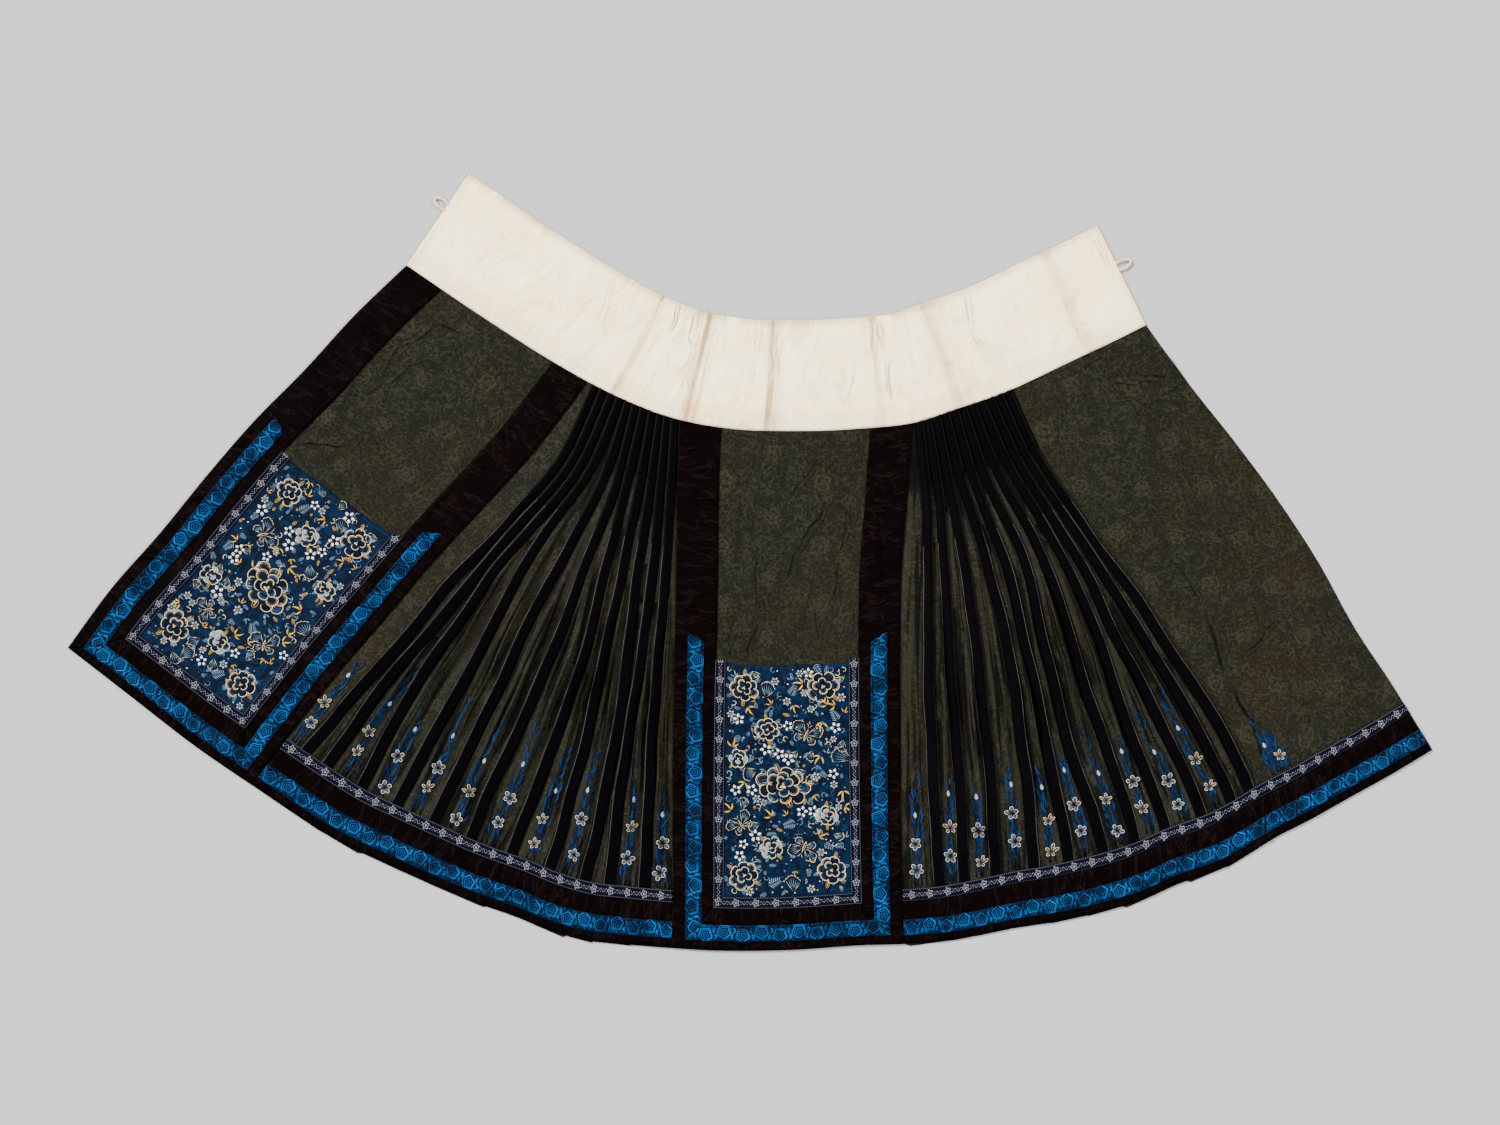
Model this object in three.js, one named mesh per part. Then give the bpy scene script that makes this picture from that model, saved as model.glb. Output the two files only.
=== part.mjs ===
// Horse-face skirt laid open on a flat surface. Millimetres, +Z up, the waistband towards +Y.
// The origin is the middle of the laid-out outline, on the surface that the skirt lies on.
// Left to right: decorated panel, pleats, decorated centre panel over a plain one, pleats, plain panel.
import * as THREE from 'three';

// Driving sizes
const SKIRT_LENGTH = 783;
const CLOTH = 1.1;
const TRIM = 1.1;
const SEAM_GAP = 0.36;
const WAIST_GAP = 0.95;
const LAYER_GAP = 0.3;
const LAYER_STEP = CLOTH + LAYER_GAP;
const WAISTBAND_HEIGHT = 166.2;
const WAISTBAND_THICKNESS = 3;
const WAIST_STEPS = 44;
const PANEL_STEPS = 10;
const LOOP_TUBE = 4;
const LOOP_REACH = 23;
const LOOP_SPREAD = 5.6;
const EDGE_INSET = 0.5;
const NARROWEST_FACE_EDGE = 1.7;
const SEAM_FLAT = 1.5;
const DEEPEST_OVERLAP_SHARE = 0.42;

const COLOURS = {
  cotton: { color: 0xe9dfcb, roughness: 0.9 },
  damask: { color: 0x383628, roughness: 0.6 },
  maroon: { color: 0x251416, roughness: 0.5 },
  blackSatin: { color: 0x16131b, roughness: 0.45 },
  ribbon: { color: 0x1c6fa8, roughness: 0.55 },
  braid: { color: 0x23244c, roughness: 0.7 },
  embroidery: { color: 0x274a86, roughness: 0.7 },
};

// The lower edge of the waistband, and how much thicker it is there over the pleats it holds
const WAIST = [
  { x: -515, y: 446, swell: 0 },
  { x: -405, y: 371, swell: 0 },
  { x: -285, y: 295, swell: 0 },
  { x: -195, y: 247, swell: 2.2 },
  { x: -106, y: 214, swell: 2.2 },
  { x: -22, y: 200, swell: 1.4 },
  { x: 60, y: 197, swell: 1.4 },
  { x: 150, y: 200, swell: 1.4 },
  { x: 243, y: 209, swell: 2.2 },
  { x: 315, y: 232, swell: 2.2 },
  { x: 393, y: 260, swell: 1.2 },
  { x: 495, y: 308, swell: 0 },
  { x: 594, y: 356, swell: 0 },
];

// Creases that stand up across the waistband, where each crosses its lower edge
const WAIST_CREASES = [
  { x: -208, rise: 4.5, halfWidth: 11 },
  { x: -106, rise: 7.5, halfWidth: 8 },
  { x: 24, rise: 6.5, halfWidth: 9 },
  { x: 190, rise: 4.0, halfWidth: 12 },
  { x: 309, rise: 5.0, halfWidth: 10 },
  { x: 507, rise: 4.5, halfWidth: 12 },
];

// The hem, from the left panel's corner to the plain panel's
const HEM = [
  { x: -1023, y: -128 },
  { x: -930, y: -200 },
  { x: -840, y: -270 },
  { x: -780, y: -312 },
  { x: -747, y: -334 },
  { x: -673, y: -384 },
  { x: -618, y: -418 },
  { x: -553, y: -449 },
  { x: -489, y: -478 },
  { x: -426, y: -505 },
  { x: -352, y: -531 },
  { x: -306, y: -550 },
  { x: -250, y: -566 },
  { x: -195, y: -572 },
  { x: -117, y: -578 },
  { x: -45, y: -582 },
  { x: 60, y: -581 },
  { x: 165, y: -574 },
  { x: 232, y: -572 },
  { x: 292, y: -568 },
  { x: 345, y: -559 },
  { x: 409, y: -546 },
  { x: 452, y: -540 },
  { x: 520, y: -526 },
  { x: 589, y: -506 },
  { x: 643, y: -482 },
  { x: 706, y: -460 },
  { x: 744, y: -440 },
  { x: 789, y: -412 },
  { x: 838, y: -387 },
  { x: 902, y: -351 },
  { x: 965, y: -316 },
  { x: 1023, y: -281 },
];

// The long edges and seams, each at equal steps from waist to hem
const SEAMS = {
  leftEdge: [
    [-515, 446], [-594, 370], [-668, 289], [-744, 212],
    [-816, 129], [-886, 43], [-958, -39], [-1023, -128],
  ],
  leftSeam: [
    [-243, 271], [-313, 179], [-387, 96], [-463, 14],
    [-536, -71], [-609, -156], [-678, -243], [-747, -334],
  ],
  centreLeft: [
    [-106, 214], [-110, 101], [-111, -13], [-113, -126],
    [-115, -239], [-116, -352], [-116, -465], [-117, -578],
  ],
  centreRight: [
    [243, 209], [235, 96], [227, -15], [225, -127],
    [225, -239], [226, -350], [228, -462], [231, -572],
  ],
  rightSeam: [
    [394, 260], [442, 159], [506, 67], [572, -24],
    [636, -115], [699, -209], [754, -306], [789, -412],
  ],
  rightEdge: [
    [594, 356], [658, 268], [727, 181], [792, 93],
    [852, 1], [905, -95], [965, -187], [1023, -281],
  ],
};

// Each pleat's folded edge, as a share of its section's width, at six heights
const FOLD_HEIGHTS = { waist: 0, hip: 0.14, thigh: 0.3, knee: 0.5, calf: 0.7, hem: 0.9 };
const LEFT_FOLDS = [
  { waist: 0.04, hip: 0.13, thigh: 0.1, knee: 0.07, calf: 0.055, hem: 0.035 },
  { waist: 0.13, hip: 0.2, thigh: 0.15, knee: 0.118, calf: 0.095, hem: 0.09 },
  { waist: 0.22, hip: 0.265, thigh: 0.2, knee: 0.17, calf: 0.17, hem: 0.18 },
  { waist: 0.31, hip: 0.335, thigh: 0.27, knee: 0.275, calf: 0.275, hem: 0.27 },
  { waist: 0.4, hip: 0.44, thigh: 0.405, knee: 0.385, calf: 0.38, hem: 0.365 },
  { waist: 0.48, hip: 0.53, thigh: 0.515, knee: 0.505, calf: 0.48, hem: 0.46 },
  { waist: 0.57, hip: 0.6, thigh: 0.61, knee: 0.62, calf: 0.595, hem: 0.565 },
  { waist: 0.66, hip: 0.69, thigh: 0.69, knee: 0.695, calf: 0.69, hem: 0.665 },
  { waist: 0.75, hip: 0.77, thigh: 0.77, knee: 0.785, calf: 0.78, hem: 0.755 },
  { waist: 0.825, hip: 0.842, thigh: 0.845, knee: 0.835, calf: 0.825, hem: 0.82 },
  { waist: 0.905, hip: 0.918, thigh: 0.915, knee: 0.91, calf: 0.91, hem: 0.91 },
];
const RIGHT_FOLDS = [
  { waist: 0.11, hip: 0.18, thigh: 0.17, knee: 0.135, calf: 0.125, hem: 0.12 },
  { waist: 0.19, hip: 0.265, thigh: 0.255, knee: 0.225, calf: 0.205, hem: 0.187 },
  { waist: 0.28, hip: 0.35, thigh: 0.36, knee: 0.335, calf: 0.305, hem: 0.275 },
  { waist: 0.37, hip: 0.44, thigh: 0.48, knee: 0.46, calf: 0.415, hem: 0.384 },
  { waist: 0.46, hip: 0.525, thigh: 0.565, knee: 0.53, calf: 0.495, hem: 0.482 },
  { waist: 0.54, hip: 0.61, thigh: 0.655, knee: 0.6, calf: 0.57, hem: 0.58 },
  { waist: 0.63, hip: 0.7, thigh: 0.745, knee: 0.7, calf: 0.673, hem: 0.667 },
  { waist: 0.72, hip: 0.79, thigh: 0.825, knee: 0.8, calf: 0.755, hem: 0.752 },
  { waist: 0.81, hip: 0.86, thigh: 0.885, knee: 0.862, calf: 0.848, hem: 0.854 },
  { waist: 0.9, hip: 0.925, thigh: 0.94, knee: 0.94, calf: 0.935, hem: 0.935 },
  { waist: 0.985, hip: 0.985, thigh: 0.99, knee: 0.99, calf: 0.988, hem: 0.985 },
];

// Rows of a pleated section: how deep a fold doubles back, the turn it makes, and its satin band
const PLEAT_ROWS = [
  { down: 0, overlap: 6, turn: 180, band: 13 },
  { down: 0.07, overlap: 6, turn: 180, band: 13.5 },
  { down: 0.15, overlap: 5.5, turn: 180, band: 14 },
  { down: 0.25, overlap: 5, turn: 180, band: 15 },
  { down: 0.37, overlap: 4.5, turn: 180, band: 16 },
  { down: 0.49, overlap: 4, turn: 180, band: 17 },
  { down: 0.6, overlap: 3.5, turn: 180, band: 17.5 },
  { down: 0.68, overlap: 3, turn: 145, band: 18 },
  { down: 0.75, overlap: 2.6, turn: 90, band: 18 },
  { down: 0.82, overlap: 2.4, turn: 35, band: 18 },
  { down: 0.87, overlap: 2.2, turn: 0, band: 18 },
  { down: 1, overlap: 2.2, turn: 0, band: 18 },
];

const ROW_HEIGHTS = PLEAT_ROWS.map((row) => row.down);

// Where each trim runs: its outer and inner lines in from a panel's side edges, up from its hem,
// and down from the waistband at its two upper ends
const PANEL_TRIMS = {
  border: { side: [0, 63], hem: [0, 72], top: [0, 0], columns: 2 },
  ribbon: { side: [19, 44], hem: [21, 47], top: [309, 322], columns: 1 },
  braid: { side: [61, 77], hem: [69, 84], top: [346, 346], columns: 1 },
};
const EMBROIDERY_TOP = 352;
const EMBROIDERY_INSET = 1.2;
const LEFT_HEM_TRIMS = { ribbonLow: 20, ribbonHigh: 48, border: 76, braidLow: 72, braidHigh: 88 };
const RIGHT_HEM_TRIMS = { ribbonLow: 19, ribbonHigh: 46, border: 75, braidLow: 71, braidHigh: 86 };

// The soft crease down the plain panel
const PLAIN_CREASE = { waistShare: 0.66, hemShare: 0.4, halfWidth: 0.085, rise: 5, start: 0.12, end: 0.86 };

const lerp = THREE.MathUtils.lerp;
const smooth = THREE.MathUtils.smoothstep;

// A smooth line through a table's rows, read at x
function readTable(rows, x, column) {
  const last = rows.length - 1;
  let row = 0;
  while (row < last - 1 && x > rows[row + 1].x) row += 1;
  const slope = (k) => {
    const before = rows[Math.max(k - 1, 0)];
    const after = rows[Math.min(k + 1, last)];
    return (after[column] - before[column]) / (after.x - before.x);
  };
  const width = rows[row + 1].x - rows[row].x;
  const t = (x - rows[row].x) / width;
  const t2 = t * t;
  const t3 = t2 * t;
  return (2 * t3 - 3 * t2 + 1) * rows[row][column] + (t3 - 2 * t2 + t) * width * slope(row)
    + (3 * t2 - 2 * t3) * rows[row + 1][column] + (t3 - t2) * width * slope(row + 1);
}

const waistY = (x) => readTable(WAIST, x, 'y');
const hemY = (x) => readTable(HEM, x, 'y');

function seamLine(name) {
  const points = SEAMS[name].map((place) => new THREE.Vector2(...place));
  const top = points[0];
  const bottom = points[points.length - 1];
  top.y = waistY(top.x);
  bottom.y = hemY(bottom.x);
  return new THREE.SplineCurve(points);
}

// The flat plan of one piece between two seams: across and down both run from 0 to 1
function planBetween(leftName, rightName) {
  const left = seamLine(leftName);
  const right = seamLine(rightName);
  const corner = { topLeft: left.getPoint(0), topRight: right.getPoint(0) };
  corner.bottomLeft = left.getPoint(1);
  corner.bottomRight = right.getPoint(1);
  const spread = (across, down) => {
    const l = left.getPoint(down);
    const r = right.getPoint(down);
    const topX = lerp(corner.topLeft.x, corner.topRight.x, across);
    const bottomX = lerp(corner.bottomLeft.x, corner.bottomRight.x, across);
    const blend = (axis, top, bottom) => lerp(l[axis], r[axis], across) + lerp(top, bottom, down)
      - lerp(
        lerp(corner.topLeft[axis], corner.topRight[axis], across),
        lerp(corner.bottomLeft[axis], corner.bottomRight[axis], across),
        down,
      );
    return new THREE.Vector3(blend('x', topX, bottomX), blend('y', waistY(topX), hemY(bottomX)), 0);
  };
  const fullWidth = (down) => left.getPoint(down).distanceTo(right.getPoint(down));
  const at = (across, down) => {
    const side = SEAM_GAP / 2 / fullWidth(down);
    return spread(lerp(side, 1 - side, across), lerp(WAIST_GAP / SKIRT_LENGTH, 1, down));
  };
  return { at, width: (down) => fullWidth(down) - SEAM_GAP };
}

// One closed body between two grids of points, the lower and the upper face
function closedSheet(lower, upper) {
  const rows = lower.length;
  const columns = lower[0].length;
  const points = [...lower.flat(), ...upper.flat()];
  const low = (row, column) => row * columns + column;
  const high = (row, column) => rows * columns + low(row, column);
  const index = [];
  const quad = (a, b, c, d) => index.push(a, b, c, a, c, d);
  for (let row = 0; row < rows - 1; row += 1) {
    for (let column = 0; column < columns - 1; column += 1) {
      quad(high(row, column), high(row, column + 1), high(row + 1, column + 1), high(row + 1, column));
      quad(low(row, column), low(row + 1, column), low(row + 1, column + 1), low(row, column + 1));
    }
    const end = columns - 1;
    quad(low(row, 0), high(row, 0), high(row + 1, 0), low(row + 1, 0));
    quad(low(row, end), low(row + 1, end), high(row + 1, end), high(row, end));
  }
  for (let column = 0; column < columns - 1; column += 1) {
    const end = rows - 1;
    quad(low(0, column), low(0, column + 1), high(0, column + 1), high(0, column));
    quad(low(end, column + 1), low(end, column), high(end, column), high(end, column + 1));
  }
  let volume = 0;
  for (let k = 0; k < index.length; k += 3) {
    const [a, b, c] = [points[index[k]], points[index[k + 1]], points[index[k + 2]]];
    volume += a.dot(new THREE.Vector3().crossVectors(b, c));
  }
  if (volume < 0) index.reverse();
  const geometry = new THREE.BufferGeometry().setFromPoints(points);
  geometry.setIndex(index);
  geometry.computeVertexNormals();
  return geometry;
}

const skirt = new THREE.Group();

function addPiece(name, geometry, look) {
  const material = new THREE.MeshStandardMaterial({ ...COLOURS[look], metalness: 0 });
  const mesh = new THREE.Mesh(geometry, material);
  mesh.name = name;
  skirt.add(mesh);
}

const raised = (point, height) => new THREE.Vector3(point.x, point.y, point.z + height);

// A flat-lying piece: its grid of points on the surface, raised, and the same grid one thickness higher
function layOn(grid, height, thickness) {
  const lower = grid.map((row) => row.map((point) => raised(point, height)));
  const upper = lower.map((row) => row.map((point) => raised(point, thickness)));
  return closedSheet(lower, upper);
}

const steps = (count) => Array.from({ length: count + 1 }, (_, k) => k / count);

// Waistband

function waistPoint(x, up) {
  const lean = 4;
  const tangent = new THREE.Vector2(2 * lean, waistY(x + lean) - waistY(x - lean)).normalize();
  return new THREE.Vector3(x - tangent.y * up, waistY(x) + tangent.x * up, 0);
}

function creaseRise(x) {
  const rises = WAIST_CREASES.map((crease) => {
    const away = (x - crease.x) / crease.halfWidth;
    return crease.rise * Math.exp(-away * away);
  });
  return rises.reduce((sum, rise) => sum + rise, 0);
}

function waistband() {
  const besideCreases = [-2, -1, -0.45, 0, 0.45, 1, 2];
  const creaseStations = WAIST_CREASES.flatMap((crease) => (
    besideCreases.map((away) => crease.x + away * crease.halfWidth)
  ));
  const ends = [WAIST[0].x, WAIST[WAIST.length - 1].x];
  const clearOfCreases = steps(WAIST_STEPS).map((share) => lerp(...ends, share))
    .filter((x) => WAIST_CREASES.every((crease) => Math.abs(x - crease.x) > 2.5 * crease.halfWidth));
  const stations = [...creaseStations, ...clearOfCreases].sort((a, b) => a - b);
  const heights = [0, 0.5, 1];
  const lower = stations.map((x) => heights.map((share) => (
    raised(waistPoint(x, lerp(0, WAISTBAND_HEIGHT, share)), creaseRise(x) * (1 - 0.25 * share))
  )));
  const upper = lower.map((column, k) => column.map((point, m) => {
    const swell = readTable(WAIST, stations[k], 'swell') * (1 - smooth(heights[m], 0, 0.9));
    return raised(point, WAISTBAND_THICKNESS + swell);
  }));
  return closedSheet(lower, upper);
}

// A narrow fabric tube bent to an eye at one end of the waistband
function loop(end) {
  const outward = end.side;
  const middle = waistPoint(end.x, end.up);
  const along = waistPoint(end.x + outward, end.up).sub(middle).setZ(0).normalize();
  const across = new THREE.Vector3(-along.y, along.x, 0);
  const route = [
    { out: SEAM_GAP, side: 1 },
    { out: 0.45 * LOOP_REACH, side: 1.08 },
    { out: 0.82 * LOOP_REACH, side: 0.75 },
    { out: LOOP_REACH - LOOP_TUBE / 2, side: 0 },
    { out: 0.82 * LOOP_REACH, side: -0.75 },
    { out: 0.45 * LOOP_REACH, side: -1.08 },
    { out: SEAM_GAP, side: -1 },
  ].map((stop) => middle.clone()
    .addScaledVector(along, stop.out)
    .addScaledVector(across, stop.side * LOOP_SPREAD)
    .setZ(LOOP_TUBE / 2));
  const path = new THREE.CatmullRomCurve3(route);
  const section = new THREE.Shape(new THREE.Path().absarc(0, 0, LOOP_TUBE / 2, 0, 2 * Math.PI).getPoints(4));
  return new THREE.ExtrudeGeometry(section, { extrudePath: path, steps: 16, bevelEnabled: false });
}

// Decorated panels

function gridOf(plan, acrossSteps, downSteps) {
  return downSteps.map((down) => acrossSteps.map((across) => plan.at(across, down)));
}

// A strip down one side, along the hem and up the other side, mitred at both corners
function frameGrid(plan, trim) {
  const edge = (side, hem, top) => {
    const bottom = 1 - hem / SKIRT_LENGTH;
    const sideSteps = steps(7).map((share) => lerp(top / SKIRT_LENGTH, bottom, share));
    const leftSide = sideSteps.map((down) => plan.at(side / plan.width(down), down));
    const rightSide = sideSteps.map((down) => plan.at(1 - side / plan.width(down), down)).reverse();
    const corner = side / plan.width(bottom);
    const along = steps(4).slice(1, -1).map((share) => plan.at(lerp(corner, 1 - corner, share), bottom));
    return [...leftSide, ...along, ...rightSide];
  };
  const lines = steps(trim.columns).map((share) => edge(
    lerp(trim.side[0] + EDGE_INSET, trim.side[1], share),
    lerp(trim.hem[0] + EDGE_INSET, trim.hem[1], share),
    lerp(trim.top[0], trim.top[1], share),
  ));
  return lines[0].map((_, k) => lines.map((line) => line[k]));
}

function embroideryGrid(plan) {
  const { border } = PANEL_TRIMS;
  const side = border.side[1] + EMBROIDERY_INSET;
  const top = EMBROIDERY_TOP / SKIRT_LENGTH;
  const bottom = 1 - (border.hem[1] + EMBROIDERY_INSET) / SKIRT_LENGTH;
  return steps(4).map((share) => {
    const down = lerp(top, bottom, share);
    const edge = side / plan.width(down);
    return steps(2).map((across) => plan.at(lerp(edge, 1 - edge, across), down));
  });
}

function decoratedPanel(name, plan, base) {
  addPiece(`${name}_ground`, layOn(gridOf(plan, steps(PANEL_STEPS), ROW_HEIGHTS), base, CLOTH), 'damask');
  const firstLayer = base + LAYER_STEP;
  const secondLayer = firstLayer + TRIM + LAYER_GAP;
  addPiece(`${name}_border`, layOn(frameGrid(plan, PANEL_TRIMS.border), firstLayer, TRIM), 'maroon');
  addPiece(`${name}_embroidery`, layOn(embroideryGrid(plan), firstLayer, TRIM), 'embroidery');
  addPiece(`${name}_ribbon`, layOn(frameGrid(plan, PANEL_TRIMS.ribbon), secondLayer, TRIM), 'ribbon');
  addPiece(`${name}_braid`, layOn(frameGrid(plan, PANEL_TRIMS.braid), secondLayer, TRIM), 'braid');
}

// The plain panel that the centre panel hides, a little narrower and shorter
function underPanel(plan) {
  const tuck = 0.02;
  const across = steps(PANEL_STEPS).map((share) => share * (1 - tuck));
  const down = [...ROW_HEIGHTS.slice(0, -1), 1 - tuck];
  return layOn(gridOf(plan, across, down), 0, CLOTH);
}

function plainPanelGrid(plan) {
  const crease = PLAIN_CREASE;
  const away = [-2, -1, -0.4, 0, 0.4, 1, 2];
  return ROW_HEIGHTS.map((down) => {
    const middle = lerp(crease.waistShare, crease.hemShare, smooth(down, 0, 1));
    const fade = smooth(down, 0, crease.start) * (1 - smooth(down, crease.end - 0.2, crease.end));
    const beside = away.map((distance) => {
      const point = plan.at(middle + distance * crease.halfWidth, down);
      return raised(point, crease.rise * fade * Math.exp(-distance * distance));
    });
    return [plan.at(0, down), plan.at(middle / 2 - 0.08, down), ...beside,
      plan.at((middle + 0.17 + 1) / 2, down), plan.at(1, down)];
  });
}

// Pleats

function foldShare(fold, down) {
  const names = Object.keys(FOLD_HEIGHTS);
  const rows = names.map((name) => ({ x: FOLD_HEIGHTS[name], share: fold[name] }));
  return readTable(rows, Math.min(down, FOLD_HEIGHTS.hem), 'share');
}

// One fold in section: x is the distance past its folded edge, z the height of the cloth's middle.
// The cloth doubles back under the face, turns up and over the edge, and slopes down the face.
function foldSection(row, pitch) {
  const turn = THREE.MathUtils.degToRad(row.turn);
  const closed = (1 - Math.cos(turn)) / 2;
  const overlap = Math.min(row.overlap, DEEPEST_OVERLAP_SHARE * pitch);
  const lift = closed * 2 * LAYER_STEP * overlap / pitch;
  const riser = { x: LAYER_STEP * Math.cos(turn / 2), z: LAYER_STEP * Math.sin(turn / 2) };
  const back = { x: overlap * Math.cos(turn), z: overlap * Math.sin(turn) + lift };
  const top = 2 * riser.z + back.z;
  const start = { x: -2 * riser.x - back.x, z: 0 };
  const turned = { x: start.x + riser.x, z: riser.z };
  const under = { x: -riser.x, z: top - riser.z };
  const reach = Math.min(row.band, pitch - NARROWEST_FACE_EDGE + Math.min(0, start.x));
  const brow = { x: overlap + 1, z: top - lift - 0.25 * top * Math.sin(turn) };
  const foot = { x: reach, z: 0.85 * lift + 0.05 * top };
  return { hidden: [start, turned, under], face: [{ x: 0, z: top }, brow, foot] };
}

// Unit normals of a section's path, stretched at corners so that both faces stay parallel to it
function mitres(path) {
  const normals = path.slice(1).map((point, k) => (
    new THREE.Vector2(-(point.z - path[k].z), point.along - path[k].along).normalize()
  ));
  return path.map((_, k) => {
    const before = normals[Math.max(k - 1, 0)];
    const after = normals[Math.min(k, normals.length - 1)];
    return before.clone().add(after).divideScalar(1 + before.dot(after));
  });
}

function moveOut(path, distance) {
  const out = mitres(path);
  return path.map((stop, k) => new THREE.Vector3(
    stop.plan.x + (stop.x + out[k].x * distance) * stop.across.x,
    stop.plan.y + (stop.x + out[k].x * distance) * stop.across.y,
    Math.max(0, stop.z + out[k].y * distance + CLOTH / 2),
  ));
}

// Folds seen from the side that their faces slope down to: a mirrored section counts from the right
function pleatedSection(plan, folds, mirrored) {
  const ordered = mirrored ? [...folds].reverse() : folds;
  const at = (share, down) => plan.at(mirrored ? 1 - share : share, down);
  const nudge = 0.002;
  const stop = (share, down, along, x, z) => {
    const across = at(share + nudge, down).sub(at(share - nudge, down)).normalize();
    return { plan: at(share, down), across, along: along + x, x, z };
  };
  return PLEAT_ROWS.map((row) => {
    const width = plan.width(row.down);
    const shares = ordered.map((fold) => {
      const share = foldShare(fold, row.down);
      return mirrored ? 1 - share : share;
    });
    const flatEdge = 1 - SEAM_FLAT / width;
    const wall = [stop(0, row.down, 0, 0, 0)];
    const faces = shares.map((share, k) => {
      const next = k + 1 < shares.length ? shares[k + 1] : flatEdge;
      const pitch = (next - share) * width;
      const section = foldSection(row, pitch);
      const toStop = ({ x, z }) => stop(share, row.down, share * width, x, z);
      const face = section.face.map(toStop);
      wall.push(...section.hidden.map(toStop), ...face);
      return face;
    });
    wall.push(stop(flatEdge, row.down, width - SEAM_FLAT, 0, 0), stop(1, row.down, width, 0, 0));
    return { down: row.down, wall, faces };
  });
}

function addPleats(side, plan, folds, mirrored, trims) {
  const rows = pleatedSection(plan, folds, mirrored);
  const lower = rows.map((row) => moveOut(row.wall, -CLOTH / 2));
  const upper = rows.map((row) => moveOut(row.wall, CLOTH / 2));
  addPiece(`pleats_${side}`, closedSheet(lower, upper), 'damask');

  const bandEnd = 1 - (trims.border + SEAM_GAP) / SKIRT_LENGTH;
  folds.forEach((_, k) => {
    const toBand = (distance) => {
      const grid = rows.slice(0, -1).map((row) => moveOut(row.faces[k], distance));
      const [flat, hem] = rows.slice(-2);
      const share = (bandEnd - flat.down) / (hem.down - flat.down);
      const hemPoints = moveOut(hem.faces[k], distance);
      grid.push(grid[grid.length - 1].map((point, m) => point.clone().lerp(hemPoints[m], share)));
      return grid;
    };
    const inner = toBand(CLOTH / 2 + LAYER_GAP);
    const outer = toBand(CLOTH / 2 + LAYER_GAP + TRIM);
    const number = mirrored ? folds.length - k : k + 1;
    addPiece(`band_${side}_${String(number).padStart(2, '0')}`, closedSheet(inner, outer), 'blackSatin');
  });
}

// Hem trims, one strip each across all the plans given
function addHemTrims(side, plans, trims) {
  const strip = (low, high) => plans.flatMap((plan) => steps(20).map((across) => (
    [low, high].map((distance) => plan.at(across, 1 - distance / SKIRT_LENGTH))
  )));
  const first = LAYER_STEP;
  const second = first + TRIM + LAYER_GAP;
  addPiece(`hem_border_${side}`, layOn(strip(EDGE_INSET, trims.border), first, TRIM), 'maroon');
  addPiece(`hem_ribbon_${side}`, layOn(strip(trims.ribbonLow, trims.ribbonHigh), second, TRIM), 'ribbon');
  addPiece(`hem_braid_${side}`, layOn(strip(trims.braidLow, trims.braidHigh), second, TRIM), 'braid');
}

// Assembly

const leftPlan = planBetween('leftEdge', 'leftSeam');
const leftPleatPlan = planBetween('leftSeam', 'centreLeft');
const centrePlan = planBetween('centreLeft', 'centreRight');
const rightPleatPlan = planBetween('centreRight', 'rightSeam');
const plainPlan = planBetween('rightSeam', 'rightEdge');

addPiece('waistband', waistband(), 'cotton');
addPiece('loop_left', loop({ x: WAIST[0].x, side: -1, up: 106 }), 'cotton');
addPiece('loop_right', loop({ x: WAIST[WAIST.length - 1].x, side: 1, up: 97 }), 'cotton');
decoratedPanel('left', leftPlan, 0);
addPiece('under_panel', underPanel(centrePlan), 'damask');
decoratedPanel('centre', centrePlan, LAYER_STEP);
addPleats('left', leftPleatPlan, LEFT_FOLDS, false, LEFT_HEM_TRIMS);
addPleats('right', rightPleatPlan, RIGHT_FOLDS, true, RIGHT_HEM_TRIMS);
addPiece('right_panel', layOn(plainPanelGrid(plainPlan), 0, CLOTH), 'damask');
addHemTrims('left', [leftPleatPlan], LEFT_HEM_TRIMS);
addHemTrims('right', [rightPleatPlan, plainPlan], RIGHT_HEM_TRIMS);

export default skirt;
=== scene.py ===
import math
import random

import bmesh
import bpy
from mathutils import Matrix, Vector
from mathutils.bvhtree import BVHTree
from mathutils.noise import noise


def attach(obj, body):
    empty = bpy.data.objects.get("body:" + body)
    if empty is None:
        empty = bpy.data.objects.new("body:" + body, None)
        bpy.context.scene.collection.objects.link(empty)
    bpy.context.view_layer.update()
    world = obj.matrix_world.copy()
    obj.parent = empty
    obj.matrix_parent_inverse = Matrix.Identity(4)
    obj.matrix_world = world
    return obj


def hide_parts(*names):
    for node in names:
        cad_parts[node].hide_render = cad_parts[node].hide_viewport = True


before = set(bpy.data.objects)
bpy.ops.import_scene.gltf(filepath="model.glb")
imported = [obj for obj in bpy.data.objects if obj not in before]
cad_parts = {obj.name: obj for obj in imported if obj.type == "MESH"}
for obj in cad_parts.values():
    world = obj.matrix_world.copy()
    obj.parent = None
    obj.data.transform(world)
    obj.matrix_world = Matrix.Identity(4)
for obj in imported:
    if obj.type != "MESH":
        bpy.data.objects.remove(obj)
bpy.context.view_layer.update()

# View: the skirt lies open on a pale floor and is seen from straight above, under wide soft light
# from the upper left.
view_data = bpy.data.cameras.new("view")
view_data.lens = 85
view_data.sensor_width = 36
view_data.clip_end = 50
view = bpy.data.objects.new("view", view_data)
view.location = (0, 0, 5.3125)
bpy.context.scene.collection.objects.link(view)
bpy.context.scene.camera = view


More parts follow.
